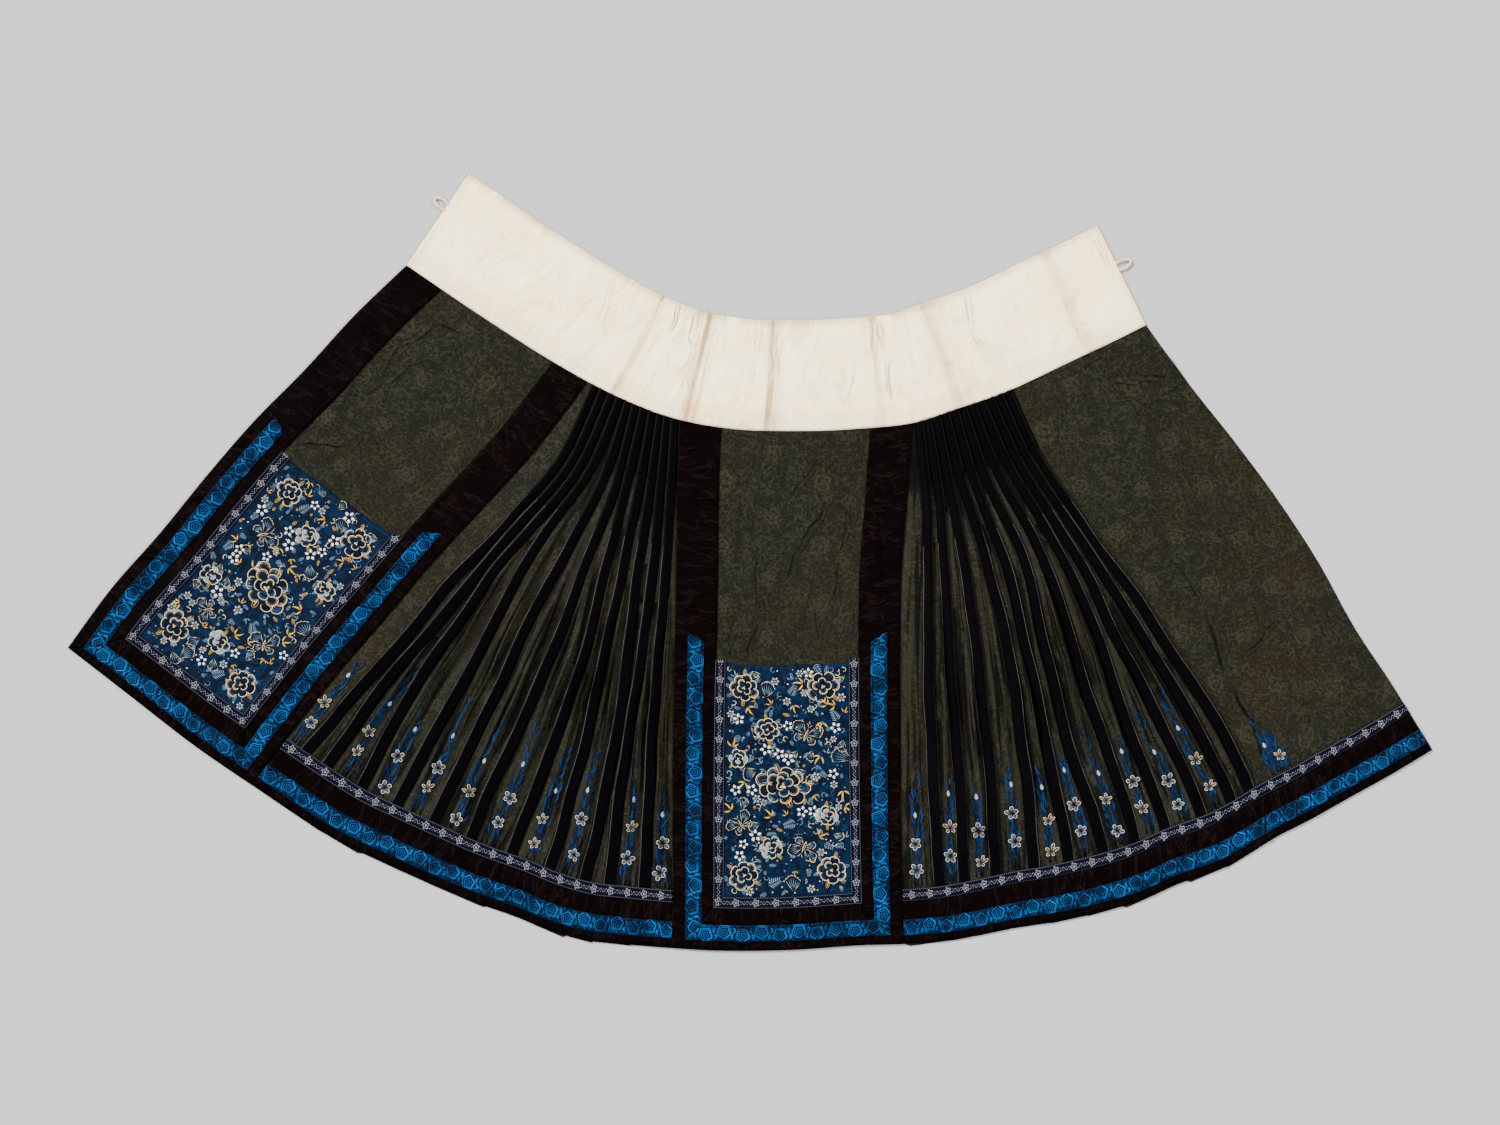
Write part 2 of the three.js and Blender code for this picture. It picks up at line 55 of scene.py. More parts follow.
class Value:
    """One socket of a material's nodes, on which sums can be written."""

    def __init__(self, look, socket):
        self.look = look
        self.socket = socket

    def maths(self, operation, *others, swap=False):
        values = [self, *others]
        if swap:
            values.reverse()
        return self.look.node("ShaderNodeMath", {"operation": operation}, dict(enumerate(values)))

    def __add__(self, other):
        return self.maths("ADD", other)

    def __radd__(self, other):
        return self.maths("ADD", other)

    def __sub__(self, other):
        return self.maths("SUBTRACT", other)

    def __rsub__(self, other):
        return self.maths("SUBTRACT", other, swap=True)

    def __mul__(self, other):
        return self.maths("MULTIPLY", other)

    def __rmul__(self, other):
        return self.maths("MULTIPLY", other)

    def __truediv__(self, other):
        return self.maths("DIVIDE", other)

    def __lt__(self, other):
        return self.maths("LESS_THAN", other)

    def __gt__(self, other):
        return self.maths("GREATER_THAN", other)

    def __abs__(self):
        return self.maths("ABSOLUTE")


class Look:
    """A material, and the nodes that make it."""

    def __init__(self, name, **finish):
        self.material = bpy.data.materials.new(name)
        self.material.use_nodes = True
        self.nodes = self.material.node_tree.nodes
        self.links = self.material.node_tree.links
        self.shader = self.nodes["Principled BSDF"]
        for socket, value in finish.items():
            self.shader.inputs[socket.replace("_", " ")].default_value = value

    def node(self, kind, settings=None, sockets=None, out=0):
        new = self.nodes.new(kind)
        for name, value in (settings or {}).items():
            setattr(new, name, value)
        for name, value in (sockets or {}).items():
            self.put(new.inputs[name], value)
        return Value(self, new.outputs[out])

    def put(self, socket, value):
        if isinstance(value, Value):
            self.links.new(value.socket, socket)
        elif socket.type == "RGBA" and len(value) == 3:
            socket.default_value = (*value, 1)
        else:
            socket.default_value = value

    def finish(self, **sockets):
        for name, value in sockets.items():
            self.put(self.shader.inputs[name.replace("_", " ")], value)
        return self.material

    def mix(self, share, first, second, blend="MIX"):
        settings = {"data_type": "RGBA", "blend_type": blend, "clamp_factor": True}
        return self.node("ShaderNodeMix", settings, {0: share, 6: first, 7: second}, out=2)

    def vector(self, operation, *values, out=0):
        return self.node("ShaderNodeVectorMath", {"operation": operation}, dict(enumerate(values)), out)

    def part(self, vector, axis):
        """One number of a vector: 0 is x and 1 is y"""
        return self.node("ShaderNodeSeparateXYZ", None, {0: vector}, out=axis)

    def places(self):
        return self.node("ShaderNodeTexCoord", out=3)

    def uv(self):
        return self.node("ShaderNodeTexCoord", out=2)

    def scaled(self, vector, amounts, turn=0):
        sockets = {"Vector": vector, "Scale": amounts, "Rotation": (0, 0, turn)}
        return self.node("ShaderNodeMapping", None, sockets)

    def clouds(self, vector, scale, detail=4, roughness=0.5, distortion=0):
        sockets = {"Vector": vector, "Scale": scale, "Detail": detail, "Roughness": roughness,
                   "Distortion": distortion}
        return self.node("ShaderNodeTexNoise", None, sockets)

    def threads(self, vector, scale, direction):
        settings = {"wave_type": "BANDS", "bands_direction": direction}
        return self.node("ShaderNodeTexWave", settings, {"Vector": vector, "Scale": scale})

    def band(self, value, low, high, soft):
        """1 between low and high, falling off over soft"""
        rise = self.node("ShaderNodeMapRange", {"interpolation_type": "SMOOTHSTEP"},
                         {0: value, 1: low - soft, 2: low})
        fall = self.node("ShaderNodeMapRange", {"interpolation_type": "SMOOTHSTEP"},
                         {0: value, 1: high, 2: high + soft})
        return rise * (1 - fall)

    def creases(self, rows):
        """How far cloth stands up beside its sharp creases, and the shadow in them. Each crease runs
        from one place to another in mm, with its width and the depth of its shadow."""
        place = self.scaled(self.places(), (1000, 1000, 0))
        wander = self.clouds(place, 0.026, detail=2) * 15 - 7.5
        broken = 0.55 + 0.45 * self.band(self.clouds(place, 0.021, detail=1), 0.46, 2, 0.10)
        ridge, shadow = None, None
        for x1, y1, x2, y2, width, depth in rows:
            run = Vector((x2 - x1, y2 - y1, 0))
            side = Vector((-run.y, run.x, 0)).normalized()
            start = self.vector("SUBTRACT", place, (x1, y1, 0))
            share = self.vector("DOT_PRODUCT", start, run / run.length_squared, out=1)
            away = self.vector("DOT_PRODUCT", start, side, out=1)
            away = away + (share * 4.0 + x1).maths("SINE") * 2.2 + wander
            reach = self.band(share, 0.28, 0.72, 0.30) * depth * broken
            dark = self.band(away, -0.06 * width, 0.06 * width, 0.21 * width) * reach
            stand = self.band(away, 0.30 * width, 0.42 * width, 0.60 * width) * reach
            shadow = dark if shadow is None else shadow.maths("MAXIMUM", dark)
            ridge = stand if ridge is None else ridge + stand
        return ridge, shadow

    def bump(self, height, distance, strength=1.0, normal=None):
        sockets = {"Height": height, "Distance": distance, "Strength": strength}
        if normal is not None:
            sockets["Normal"] = normal
        return self.node("ShaderNodeBump", None, sockets)


floor_look = Look("pale_floor", Roughness=0.95)
floor_tone = floor_look.clouds(floor_look.places(), 3.0, detail=2)
floor_look.finish(Base_Color=floor_look.mix(floor_tone, (0.306, 0.300, 0.303), (0.314, 0.309, 0.311)))
floor_mesh = bmesh.new()
bmesh.ops.create_grid(floor_mesh, x_segments=4, y_segments=4, size=6)
floor_data = bpy.data.meshes.new("floor")
floor_mesh.to_mesh(floor_data)
floor_data.materials.append(floor_look.material)
floor = bpy.data.objects.new("floor", floor_data)
floor.location = (0, 0, -0.0006)
bpy.context.scene.collection.objects.link(floor)

for name, place, strength in (
    ("main_light", (-1.2, 1.0, 1.3), 11.6),
    ("fill_light", (1.6, 0.3, 1.3), 3.6),
    ("low_light", (-0.1, -1.6, 1.2), 2.6),
):
    light_data = bpy.data.lights.new(name, "SUN")
    light_data.angle = 0.42
    light_data.energy = strength
    light = bpy.data.objects.new(name, light_data)
    light.location = place
    light.rotation_euler = (-Vector(place)).to_track_quat("-Z", "Y").to_euler()
    bpy.context.scene.collection.objects.link(light)
surround = bpy.data.worlds.new("surround")
surround.use_nodes = True
surround.node_tree.nodes["Background"].inputs["Color"].default_value = (0.95, 0.97, 1.0, 1)
surround.node_tree.nodes["Background"].inputs["Strength"].default_value = 0.52
bpy.context.scene.world = surround

# Waistband: a doubled length of cream cotton, shaped in an arc, that holds the tops of the pleats.
# Its lower edge is machine-straight and topstitched, and old folds stand up across it.
# All places from here on are in millimetres from the middle of the laid-out skirt.
WAIST = (
    (-515, 446, 0), (-405, 371, 0), (-285, 295, 0), (-195, 247, 2.2), (-106, 214, 2.2),
    (-22, 200, 1.4), (60, 197, 1.4), (150, 200, 1.4), (243, 209, 2.2), (315, 232, 2.2),
    (393, 260, 1.2), (495, 308, 0), (594, 356, 0),
)
WAIST_LEFT, WAIST_RIGHT = -515, 594
WAISTBAND_HEIGHT = 166.2
WAIST_MIDDLE = 83
WAIST_CREASES = (
    (-208, 4.5, 11), (-106, 7.5, 8), (24, 6.5, 9), (190, 4.0, 12), (309, 5.0, 10), (507, 4.5, 12),
)
FAINT_CREASES = (
    (-452, 1.3, 17, 0.5), (-388, 0.9, 9, 0.2), (-318, 1.5, 13, 0.75), (-262, 1.1, 8, 0.35),
    (-160, 1.4, 12, 0.6), (-60, 1.0, 10, 0.4), (84, 1.2, 14, 0.7), (133, 0.8, 7, 0.3),
    (246, 1.1, 9, 0.45), (360, 1.3, 15, 0.25), (431, 0.9, 9, 0.6), (560, 1.2, 11, 0.4),
)
WAIST_SHADOWS = (
    (-205, 433, -238, 338, 13, 0.34), (-183, 413, -225, 341, 6, 0.26), (-225, 344, -258, 301, 6, 0.20),
    (-105, 393, -124, 347, 7, 1.0), (-82, 379, -91, 318, 11, 0.75), (-91, 324, -100, 284, 11, 0.5),
    (-102, 294, -78, 236, 9, 0.38), (11, 363, 8, 308, 10, 0.45), (8, 318, -12, 230, 8, 0.36),
    (38, 363, 31, 272, 11, 0.66), (31, 283, 27, 203, 7, 0.5), (189, 366, 200, 314, 10, 0.72),
    (200, 321, 212, 239, 7, 0.62), (168, 369, 176, 299, 13, 0.26), (322, 405, 327, 353, 11, 0.62),
    (327, 361, 345, 317, 8, 0.5), (506, 496, 539, 434, 8, 0.5), (278, 316, 335, 241, 6, 0.26),
    (377, 367, 402, 271, 6, 0.20), (302, 394, 315, 322, 6, 0.22), (-129, 326, -129, 247, 8, 0.20),
)


def smooth(value, low, high):
    share = min(max((value - low) / (high - low), 0), 1)
    return share * share * (3 - 2 * share)


def lerp(first, second, share):
    return first + (second - first) * share


def toward(angle):
    return Vector((math.cos(angle), math.sin(angle)))


def left_of(run):
    return Vector((-run.y, run.x))


def read_table(rows, x, column=1):
    """A smooth line through the rows, whose first number is x"""
    last = len(rows) - 1
    row = 0
    while row < last - 1 and x > rows[row + 1][0]:
        row += 1

    def slope(k):
        before, after = rows[max(k - 1, 0)], rows[min(k + 1, last)]
        return (after[column] - before[column]) / (after[0] - before[0])

    width = rows[row + 1][0] - rows[row][0]
    t = (x - rows[row][0]) / width
    return ((2 * t ** 3 - 3 * t ** 2 + 1) * rows[row][column]
            + (t ** 3 - 2 * t ** 2 + t) * width * slope(row)
            + (3 * t ** 2 - 2 * t ** 3) * rows[row + 1][column]
            + (t ** 3 - t ** 2) * width * slope(row + 1))


def waist_y(x):
    return read_table(WAIST, x)


def waist_point(x, up):
    tangent = Vector((8, waist_y(x + 4) - waist_y(x - 4))).normalized()
    return Vector((x - tangent.y * up, waist_y(x) + tangent.x * up))


def waist_rise(x, share):
    rise = 3 + read_table(WAIST, x, 2) * (1 - smooth(share, 0, 0.9))
    for middle, height, half_width in WAIST_CREASES:
        bent = middle + 5 * math.sin(2.4 * share + middle)
        away = (x - bent) / (half_width * (0.50 + 0.16 * math.sin(5 * share + middle)))
        rise += 1.15 * height * (0.72 + 0.28 * math.cos(6 * share + middle)) * math.exp(-abs(away) ** 1.5)
        second = (x - bent - (1.5 + 0.5 * share) * half_width) / (0.36 * half_width)
        rise += 0.42 * height * smooth(0.9 - share, 0, 0.7) * math.exp(-abs(second) ** 1.6)
    for middle, height, half_width, at in FAINT_CREASES:
        away = (x - middle - 22 * (share - at)) / half_width
        reach = (share - at) / 0.4
        rise += height * math.exp(-away * away - reach * reach)
    return rise + 0.35 * noise(Vector((x * 0.021, share * 3.1, 4))) + 0.35


def lay(name, piece_data, look, slot, node=None):
    """Lays a piece of the skirt from its mesh. All of the skirt is one body."""
    piece = bpy.data.objects.new(name, piece_data)
    piece_data.materials.append(look)
    bpy.context.scene.collection.objects.link(piece)
    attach(piece, "root")
    if node:
        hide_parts(node)
    return piece


def cloth(name, parts, look, node, slot, thickness=0.9, offset=-1):
    """Cloth in one or more grids (columns, rows, place). place(u, v) gives a point of the cloth and
    the same point's place on the flat cut, all in mm. Returns the piece and its area in square metres."""
    mesh = bmesh.new()
    weave = mesh.loops.layers.uv.new("weave")
    lengthwise = mesh.loops.layers.uv.new("lengthwise")
    for columns, rows, place in parts:
        verts = bmesh.ops.create_grid(mesh, x_segments=columns, y_segments=rows, size=0.5)["verts"]
        cut, grid = {}, {}
        for vert in verts:
            grid[vert] = Vector((vert.co.x + 0.5, 0.5 - vert.co.y))
            point, cut[vert] = place(*grid[vert])
            vert.co = Vector(point) * 0.001
        faces = {face for vert in verts for face in vert.link_faces}
        facing = 0.0
        for face in faces:
            face.normal_update()
            facing += face.normal.z * face.calc_area()
            face.smooth = True
            for loop in face.loops:
                loop[weave].uv = Vector(cut[loop.vert]) * 0.001
                loop[lengthwise].uv = grid[loop.vert]
        if facing < 0:
            bmesh.ops.reverse_faces(mesh, faces=list(faces))
    piece_data = bpy.data.meshes.new(name)
    mesh.to_mesh(piece_data)
    mesh.free()
    area = sum(polygon.area for polygon in piece_data.polygons)
    piece = lay(name, piece_data, look, slot, node)
    wall = piece.modifiers.new("wall", "SOLIDIFY")
    wall.thickness = thickness * 0.001
    wall.offset = offset
    wall.use_even_offset = False
    return piece, area


middle_line = [waist_point(lerp(WAIST_LEFT, WAIST_RIGHT, step / 400), WAIST_MIDDLE)
               for step in range(401)]
waist_length = sum((after - before).length for before, after in zip(middle_line, middle_line[1:]))

cotton = Look("cream_cotton", Roughness=0.88, Specular_IOR_Level=0.1)
cotton_uv = cotton.uv()
along = cotton.part(cotton_uv, 0)
down = cotton.part(cotton_uv, 1)
warp = cotton.threads(cotton_uv, 210, "X")
weft = cotton.threads(cotton_uv, 190, "Y")
slub = cotton.clouds(cotton.scaled(cotton_uv, (16, 620, 1)), 1.0, detail=3)
slub_down = cotton.clouds(cotton.scaled(cotton_uv, (640, 14, 1)), 1.0, detail=3)
mottle = cotton.clouds(cotton_uv, 9.0, detail=6, roughness=0.65)
stain = cotton.clouds(cotton_uv, 14.0, detail=7, roughness=0.65, distortion=0.4)
top_dirt = cotton.band(down, -0.1, 0.002, 0.012) * cotton.band(stain, 0.46, 2.0, 0.10)
low_dirt = cotton.band(down, 0.145, 0.3, 0.02) * cotton.band(stain, 0.42, 2.0, 0.14)
left_dirt = cotton.band(along, -1, 0.001, 0.012)
end_dirt = left_dirt + cotton.band(along, 0.001 * waist_length - 0.002, 9, 0.012)
spots = cotton.band(stain, 0.62, 2.0, 0.05)
stain_and_crease_shade = 0.65 * top_dirt + 0.25 * low_dirt + 0.3 * end_dirt + 0.28 * spots
# Along each old crease, tan streaks that are partly stain and partly painted shade of the fold
for middle, height, half_width in WAIST_CREASES:
    at = (middle - WAIST_LEFT) / (WAIST_RIGHT - WAIST_LEFT) * waist_length * 0.001 + 0.004
    crease_shade_streak = cotton.band(along, at - 0.001, at + 0.005, 0.009)
    beside = cotton.band(along, at - 0.012, at + 0.016, 0.014)
    patchy = cotton.band(stain, 0.40, 2.0, 0.22)
    stain_and_crease_shade = stain_and_crease_shade + (0.075 * crease_shade_streak + 0.028 * beside) * height * patchy
freckles = cotton.node("ShaderNodeTexVoronoi", None, {"Vector": cotton_uv, "Scale": 34.0})
freckle_mask = (freckles < 0.030) * (cotton.clouds(cotton_uv, 23.0) > 0.57)
stitch_row = cotton.band(down, 0.1523, 0.1531, 0.0003)
stitch_gap = cotton.threads(cotton_uv, 105, "X") > 0.36
grey_hem = cotton.band(down, 0.1535, 0.2, 0.0008)
cream = cotton.mix(cotton.band(mottle, 0.62, 2, 0.25), (0.945, 0.722, 0.350), (1.000, 0.876, 0.505))
cream = cotton.mix(0.2 * slub + 0.2 * slub_down, cream, (0.99, 0.90, 0.66))
# Stains, and painted shade along the old creases, darken the cream
cream = cotton.mix(stain_and_crease_shade, cream, (0.530, 0.360, 0.180))
cream = cotton.mix(0.8 * freckle_mask, cream, (0.26, 0.15, 0.08))
waist_ridge, waist_shadow = cotton.creases(WAIST_SHADOWS)
cream = cotton.mix(waist_shadow, cream, (0.270, 0.180, 0.105))
cream = cotton.mix(0.25 * grey_hem, cream, (0.66, 0.61, 0.50))
cream = cotton.mix(0.55 * stitch_row * stitch_gap, cream, (0.40, 0.33, 0.24))
pucker = cotton.clouds(cotton.scaled(cotton_uv, (44, 20, 1)), 1.0, detail=2) * low_dirt
crinkle = cotton.clouds(cotton.scaled(cotton_uv, (26, 11, 1), 0.35), 1.0, detail=3, distortion=1.8)
cotton_crinkle = cotton.bump(crinkle + 0.8 * waist_ridge, 0.008, 0.8)
cotton_height = (0.3 * warp + 0.3 * weft + 0.7 * slub + 0.5 * slub_down - 1.2 * stitch_row
                 + 6.0 * pucker)
cotton.finish(Base_Color=cream, Roughness=0.82 + 0.1 * slub,
              Normal=cotton.bump(cotton_height, 0.00022, 0.75, cotton_crinkle))


def waist_place(u, v):
    x = lerp(WAIST_LEFT, WAIST_RIGHT, u)
    share = 1 - v
    wobble = 0.7 * noise(Vector((x * 0.012, 7.3 * round(v), 1)))
    point = waist_point(x, WAISTBAND_HEIGHT * share + wobble * (v in (0, 1)))
    rounding = 0.9 * (1 - smooth(min(v, 1 - v), 0, 0.012)) + 0.5 * (1 - smooth(min(u, 1 - u), 0, 0.002))
    return ((*point, waist_rise(x, share) - rounding),
            (u * waist_length, v * WAISTBAND_HEIGHT))


waist_cloth, _ = cloth("waistband_cloth", [(440, 46, waist_place)], cotton.material, "waistband",
                       "cotton", thickness=2.2)

# Loops: a narrow rolled strip of the same cotton is sewn to each end of the waistband as a
# button loop. Each stands out from the band's end in a flat eye.
LOOP_REACH = 23
LOOP_SPREAD = 5.6
LOOP_RADIUS = 2.4
LOOP_HEIGHT = 2
# Round the eye: share of the reach, and of the spread
LOOP_ROUTE = ((-0.05, 1.1), (0.25, 1.25), (0.6, 1.0), (0.86, 0.55), (0.93, -0.1), (0.8, -0.75),
              (0.45, -1.2), (0.2, -1.05), (-0.05, -0.9))


def round_strips(name, lines, radius, roundness, kind="POLY"):
    """The mesh of round strips along lines of places in mm"""
    line_data = bpy.data.curves.new(f"{name}_line", "CURVE")
    line_data.dimensions = "3D"
    line_data.bevel_depth = radius * 0.001
    line_data.bevel_resolution = roundness
    line_data.use_fill_caps = True
    for line in lines:
        run = line_data.splines.new(kind)
        run.points.add(len(line) - 1)
        for knot, place in zip(run.points, line):
            knot.co = (place[0] * 0.001, place[1] * 0.001, place[2] * 0.001, 1)
        if kind == "NURBS":
            run.order_u = 3
            run.use_endpoint_u = True
            run.resolution_u = 6
    strip = bpy.data.objects.new(f"{name}_strip", line_data)
    bpy.context.scene.collection.objects.link(strip)
    bpy.context.view_layer.update()
    strip_data = bpy.data.meshes.new_from_object(strip)
    bpy.data.objects.remove(strip)
    return strip_data


rolled = Look("rolled_cotton", Roughness=0.9, Specular_IOR_Level=0.2)
rolled_fleck = rolled.clouds(rolled.places(), 190.0, detail=5)
rolled_dirt = rolled.clouds(rolled.places(), 60.0, detail=3)
rolled_colour = rolled.mix(rolled_fleck, (0.42, 0.28, 0.17), (0.74, 0.58, 0.40))
rolled.finish(Base_Color=rolled.mix(0.4 * rolled_dirt, rolled_colour, (0.46, 0.30, 0.20)),
              Normal=rolled.bump(rolled_fleck, 0.0006, 0.8))

for name, x, side, up in (("left", WAIST_LEFT, -1, 106), ("right", WAIST_RIGHT, 1, 97)):
    middle = waist_point(x, up)
    out = (waist_point(x + side, up) - middle).normalized()
    route = [(*(middle + out * (reach * LOOP_REACH) + left_of(out) * (spread * LOOP_SPREAD)), LOOP_HEIGHT)
             for reach, spread in LOOP_ROUTE]
    lay(f"loop_{name}_cloth", round_strips(f"loop_{name}", [route], LOOP_RADIUS, 3, "NURBS"),
        rolled.material, "cotton", f"loop_{name}")

# Left decorated panel: olive silk damask on the straight grain, with a wide maroon satin border down
# both sides and along the hem, sewn on flat and mitred at the corners.
SKIRT_LENGTH = 783
CLOTH = 1.1
TRIM = 1.1
LAYER_GAP = 0.3
LAYER_STEP = CLOTH + LAYER_GAP
SEAM_GAP = 0.04
WAIST_GAP = 0.95
EDGE_INSET = 0.5
# A panel lies a little lower where its side borders cover it
BORDER_COVER = 58
BORDER_DIP = 0.25
HEM = (
    (-1023, -128), (-930, -200), (-840, -270), (-780, -312), (-747, -334), (-673, -384),
    (-618, -418), (-553, -449), (-489, -478), (-426, -505), (-352, -531), (-306, -550),
    (-250, -566), (-195, -572), (-117, -578), (-45, -582), (60, -581), (165, -574), (232, -572),
    (292, -568), (345, -559), (409, -546), (452, -540), (520, -526), (589, -506), (643, -482),
    (706, -460), (744, -440), (789, -412), (838, -387), (902, -351), (965, -316), (1023, -281),
)
SEAMS = {
    "left_edge": ((-515, 446), (-594, 370), (-668, 289), (-744, 212),
                  (-816, 129), (-886, 43), (-958, -39), (-1023, -128)),
    "left_seam": ((-243, 271), (-313, 179), (-387, 96), (-463, 14),
                  (-536, -71), (-609, -156), (-678, -243), (-747, -334)),
    "centre_left": ((-106, 214), (-110, 101), (-111, -13), (-113, -126),
                    (-115, -239), (-116, -352), (-116, -465), (-117, -578)),
    "centre_right": ((243, 209), (235, 96), (227, -15), (225, -127),
                     (225, -239), (226, -350), (228, -462), (231, -572)),
    "right_seam": ((394, 260), (442, 159), (506, 67), (572, -24),
                   (636, -115), (699, -209), (754, -306), (789, -412)),
    "right_edge": ((594, 356), (658, 268), (727, 181), (792, 93),
                   (852, 1), (905, -95), (965, -187), (1023, -281)),
}
# Soft ridges in the cloth as it lies: from one place to another, half width, and height
RIDGES = (
    (-560, 330, -650, 185, 10, 1.7), (-455, 335, -520, 180, 13, 1.3), (-700, 105, -800, -20, 9, 1.5),
    (-420, 190, -486, 60, 8, 1.6), (-610, 60, -560, -60, 14, 1.1), (-800, 20, -900, -80, 10, 1.4),
    (-700, -180, -790, -290, 12, 1.2), (-890, -60, -820, -190, 9, 0.9), (-330, 120, -400, 20, 6, 1.3),
    (117, 176, 138, 60, 9, 2.1), (40, 178, 55, 40, 12, 1.4), (-30, 160, -18, -60, 10, 1.6),
    (150, 20, 165, -90, 8, 1.7), (88, -20, 60, -120, 7, 1.2), (-70, 100, -50, -10, 7, 1.7),
    (-92, -30, -84, -190, 5, 1.6), (192, 90, 199, -80, 6, 1.7), (10, -230, 30, -420, 14, 1.0),
    (120, -250, 150, -470, 12, 1.1), (-60, -300, -75, -480, 8, 1.2), (205, -210, 198, -400, 7, 1.0),
    (615, 319, 668, 262, 7, 2.2), (560, 290, 600, 180, 12, 1.5), (500, 240, 560, 90, 14, 1.7),
    (700, 160, 760, 40, 12, 1.2), (830, 0, 880, -140, 10, 1.3), (560, 60, 650, -80, 13, 1.4),
    (860, -200, 935, -300, 9, 1.6), (700, -280, 745, -390, 9, 1.2), (640, 220, 700, 120, 9, 0.9),
    (930, -140, 990, -250, 8, 1.1), (790, -230, 830, -340, 7, 1.5),
    (690, -395, 712, -465, 5, 1.6), (768, -350, 790, -425, 5, 1.7), (292, -505, 300, -560, 4, 1.5),
    (-250, -500, -240, -562, 4, 1.5), (-118, 60, -122, -60, 5, 1.0), (236, -20, 240, -130, 5, 1.0),
)


def keep(function):
    """The same answer again for the same question, as the grids ask each many times"""
    known = {}

    def answer(*question):
        if question not in known:
            known[question] = function(*question)
        return known[question]

    return answer


@keep
def hem_y(x):
    return read_table(HEM, x)


waist_y = keep(waist_y)


@keep
def seam(name, down):
    places = [Vector(place) for place in SEAMS[name]]
    places[0].y = waist_y(places[0].x)
    places[-1].y = hem_y(places[-1].x)
    last = len(places) - 1
    at = min(max(down, 0), 1) * last
    k = min(int(at), last - 1)
    t = at - k
    before, start, end, after = (places[min(max(k + n, 0), last)] for n in (-1, 0, 1, 2))
    first, second = (end - before) / 2, (after - start) / 2
    return ((2 * start - 2 * end + first + second) * t ** 3
            + (-3 * start + 3 * end - 2 * first - second) * t ** 2 + first * t + start)


class Plan:
    """The flat plan between two seams: across and down both run from 0 to 1"""

    def __init__(self, left, right):
        self.left = left
        self.right = right
        self.corners = [seam(left, 0), seam(right, 0), seam(left, 1), seam(right, 1)]
        self.edges = keep(self.edges)
        self.full_width = keep(self.full_width)

    def edges(self, across):
        top_left, top_right, low_left, low_right = self.corners
        top, low = lerp(top_left.x, top_right.x, across), lerp(low_left.x, low_right.x, across)
        return Vector((top, waist_y(top))), Vector((low, hem_y(low)))

    def full_width(self, down):
        return (seam(self.left, down) - seam(self.right, down)).length

    def width(self, down):
        return self.full_width(down) - SEAM_GAP

    def at(self, across, down):
        side = SEAM_GAP / 2 / self.full_width(down)
        across = lerp(side, 1 - side, across)
        down = lerp(WAIST_GAP / SKIRT_LENGTH, 1, down)
        top, low = self.edges(across)
        top_left, top_right, low_left, low_right = self.corners
        sides = lerp(seam(self.left, down), seam(self.right, down), across)
        straight = lerp(lerp(top_left, top_right, across), lerp(low_left, low_right, across), down)
        return sides + lerp(top, low, down) - straight


def ridges_at(x, y):
    lift = 0.0
    for x1, y1, x2, y2, half_width, height in RIDGES:
        run = Vector((x2 - x1, y2 - y1))
        place = Vector((x - x1, y - y1))
        share = place.dot(run) / run.length_squared
        if -0.25 < share < 1.25:
            bend = 6 * math.sin(3.1 * share + x1)
            away = (place.cross(run) / run.length + bend) / half_width
            away *= 0.95 if away > 0 else 1.9
            if abs(away) < 3:
                reach = (share - 0.5) / 0.42
                lift += 2.0 * height * math.exp(-abs(away) ** 1.5 - reach ** 4)
    return lift


def lift(x, y):
    """How far the cloth stands off the surface at a place"""
    ripple = 0.45 * noise(Vector((x * 0.008, y * 0.008, 2)))
    ripple += 0.16 * noise(Vector((x * 0.03, y * 0.03, 5)))
    return max(0.0, 0.35 + ripple) + ridges_at(x, y)


def on_plan(plan, across, down, height, crease=None):
    place = plan.at(across, down)
    extra = crease(across, down) if crease else 0.0
    return (place.x, place.y, height + lift(place.x, place.y) + extra)


def panel(plan, top, crease=None, narrow=1.0, short=1.0):
    def place(u, v):
        across, down = u * narrow, v * short
        x, y, z = on_plan(plan, across, down, top, crease)
        under_border = min(across, 1 - across) * plan.width(down) < BORDER_COVER
        point = (x, y, z - BORDER_DIP * under_border)
        return point, ((across - 0.5) * plan.width(down), down * SKIRT_LENGTH)

    return place


def frame_strips(plan, side, hem, top, height, waves):
    """Two sides and the hem of a mitred frame: each pair is the outer and the inner line"""
    def lines(share):
        return lerp(side[0], side[1], share), lerp(hem[0], hem[1], share), lerp(top[0], top[1], share)

    def uneven(share, run):
        return waves * noise(Vector((run * 0.013, 9.1 * share, side[0])))

    def left(u, v):
        inset, low, high = lines(u)
        bottom = 1 - low / SKIRT_LENGTH
        down = lerp(high / SKIRT_LENGTH, bottom, v)
        inset += uneven(u, down * SKIRT_LENGTH) * (v < 1)
        return (on_plan(plan, inset / plan.width(down), down, height),
                (down * SKIRT_LENGTH, inset - side[0]))

    def right(u, v):
        inset, low, high = lines(1 - u)
        bottom = 1 - low / SKIRT_LENGTH
        down = lerp(high / SKIRT_LENGTH, bottom, v)
        inset += uneven(1 - u, down * SKIRT_LENGTH + 900) * (v < 1)
        return (on_plan(plan, 1 - inset / plan.width(down), down, height),
                (down * SKIRT_LENGTH + 2000, inset - side[0]))

    def bottom(u, v):
        inset, low, _ = lines(1 - v)
        down = 1 - low / SKIRT_LENGTH
        corner = inset / plan.width(down)
        across = lerp(corner, 1 - corner, u)
        return (on_plan(plan, across, down, height),
                (across * plan.width(down) + 1000, inset - side[0]))

    return [(13, 120, left), (13, 120, right), (60, 10, bottom)]


# The olive damask: a lustrous flower and scroll on a dull twill ground of the same colour
DAMASK_REPEAT = 0.074


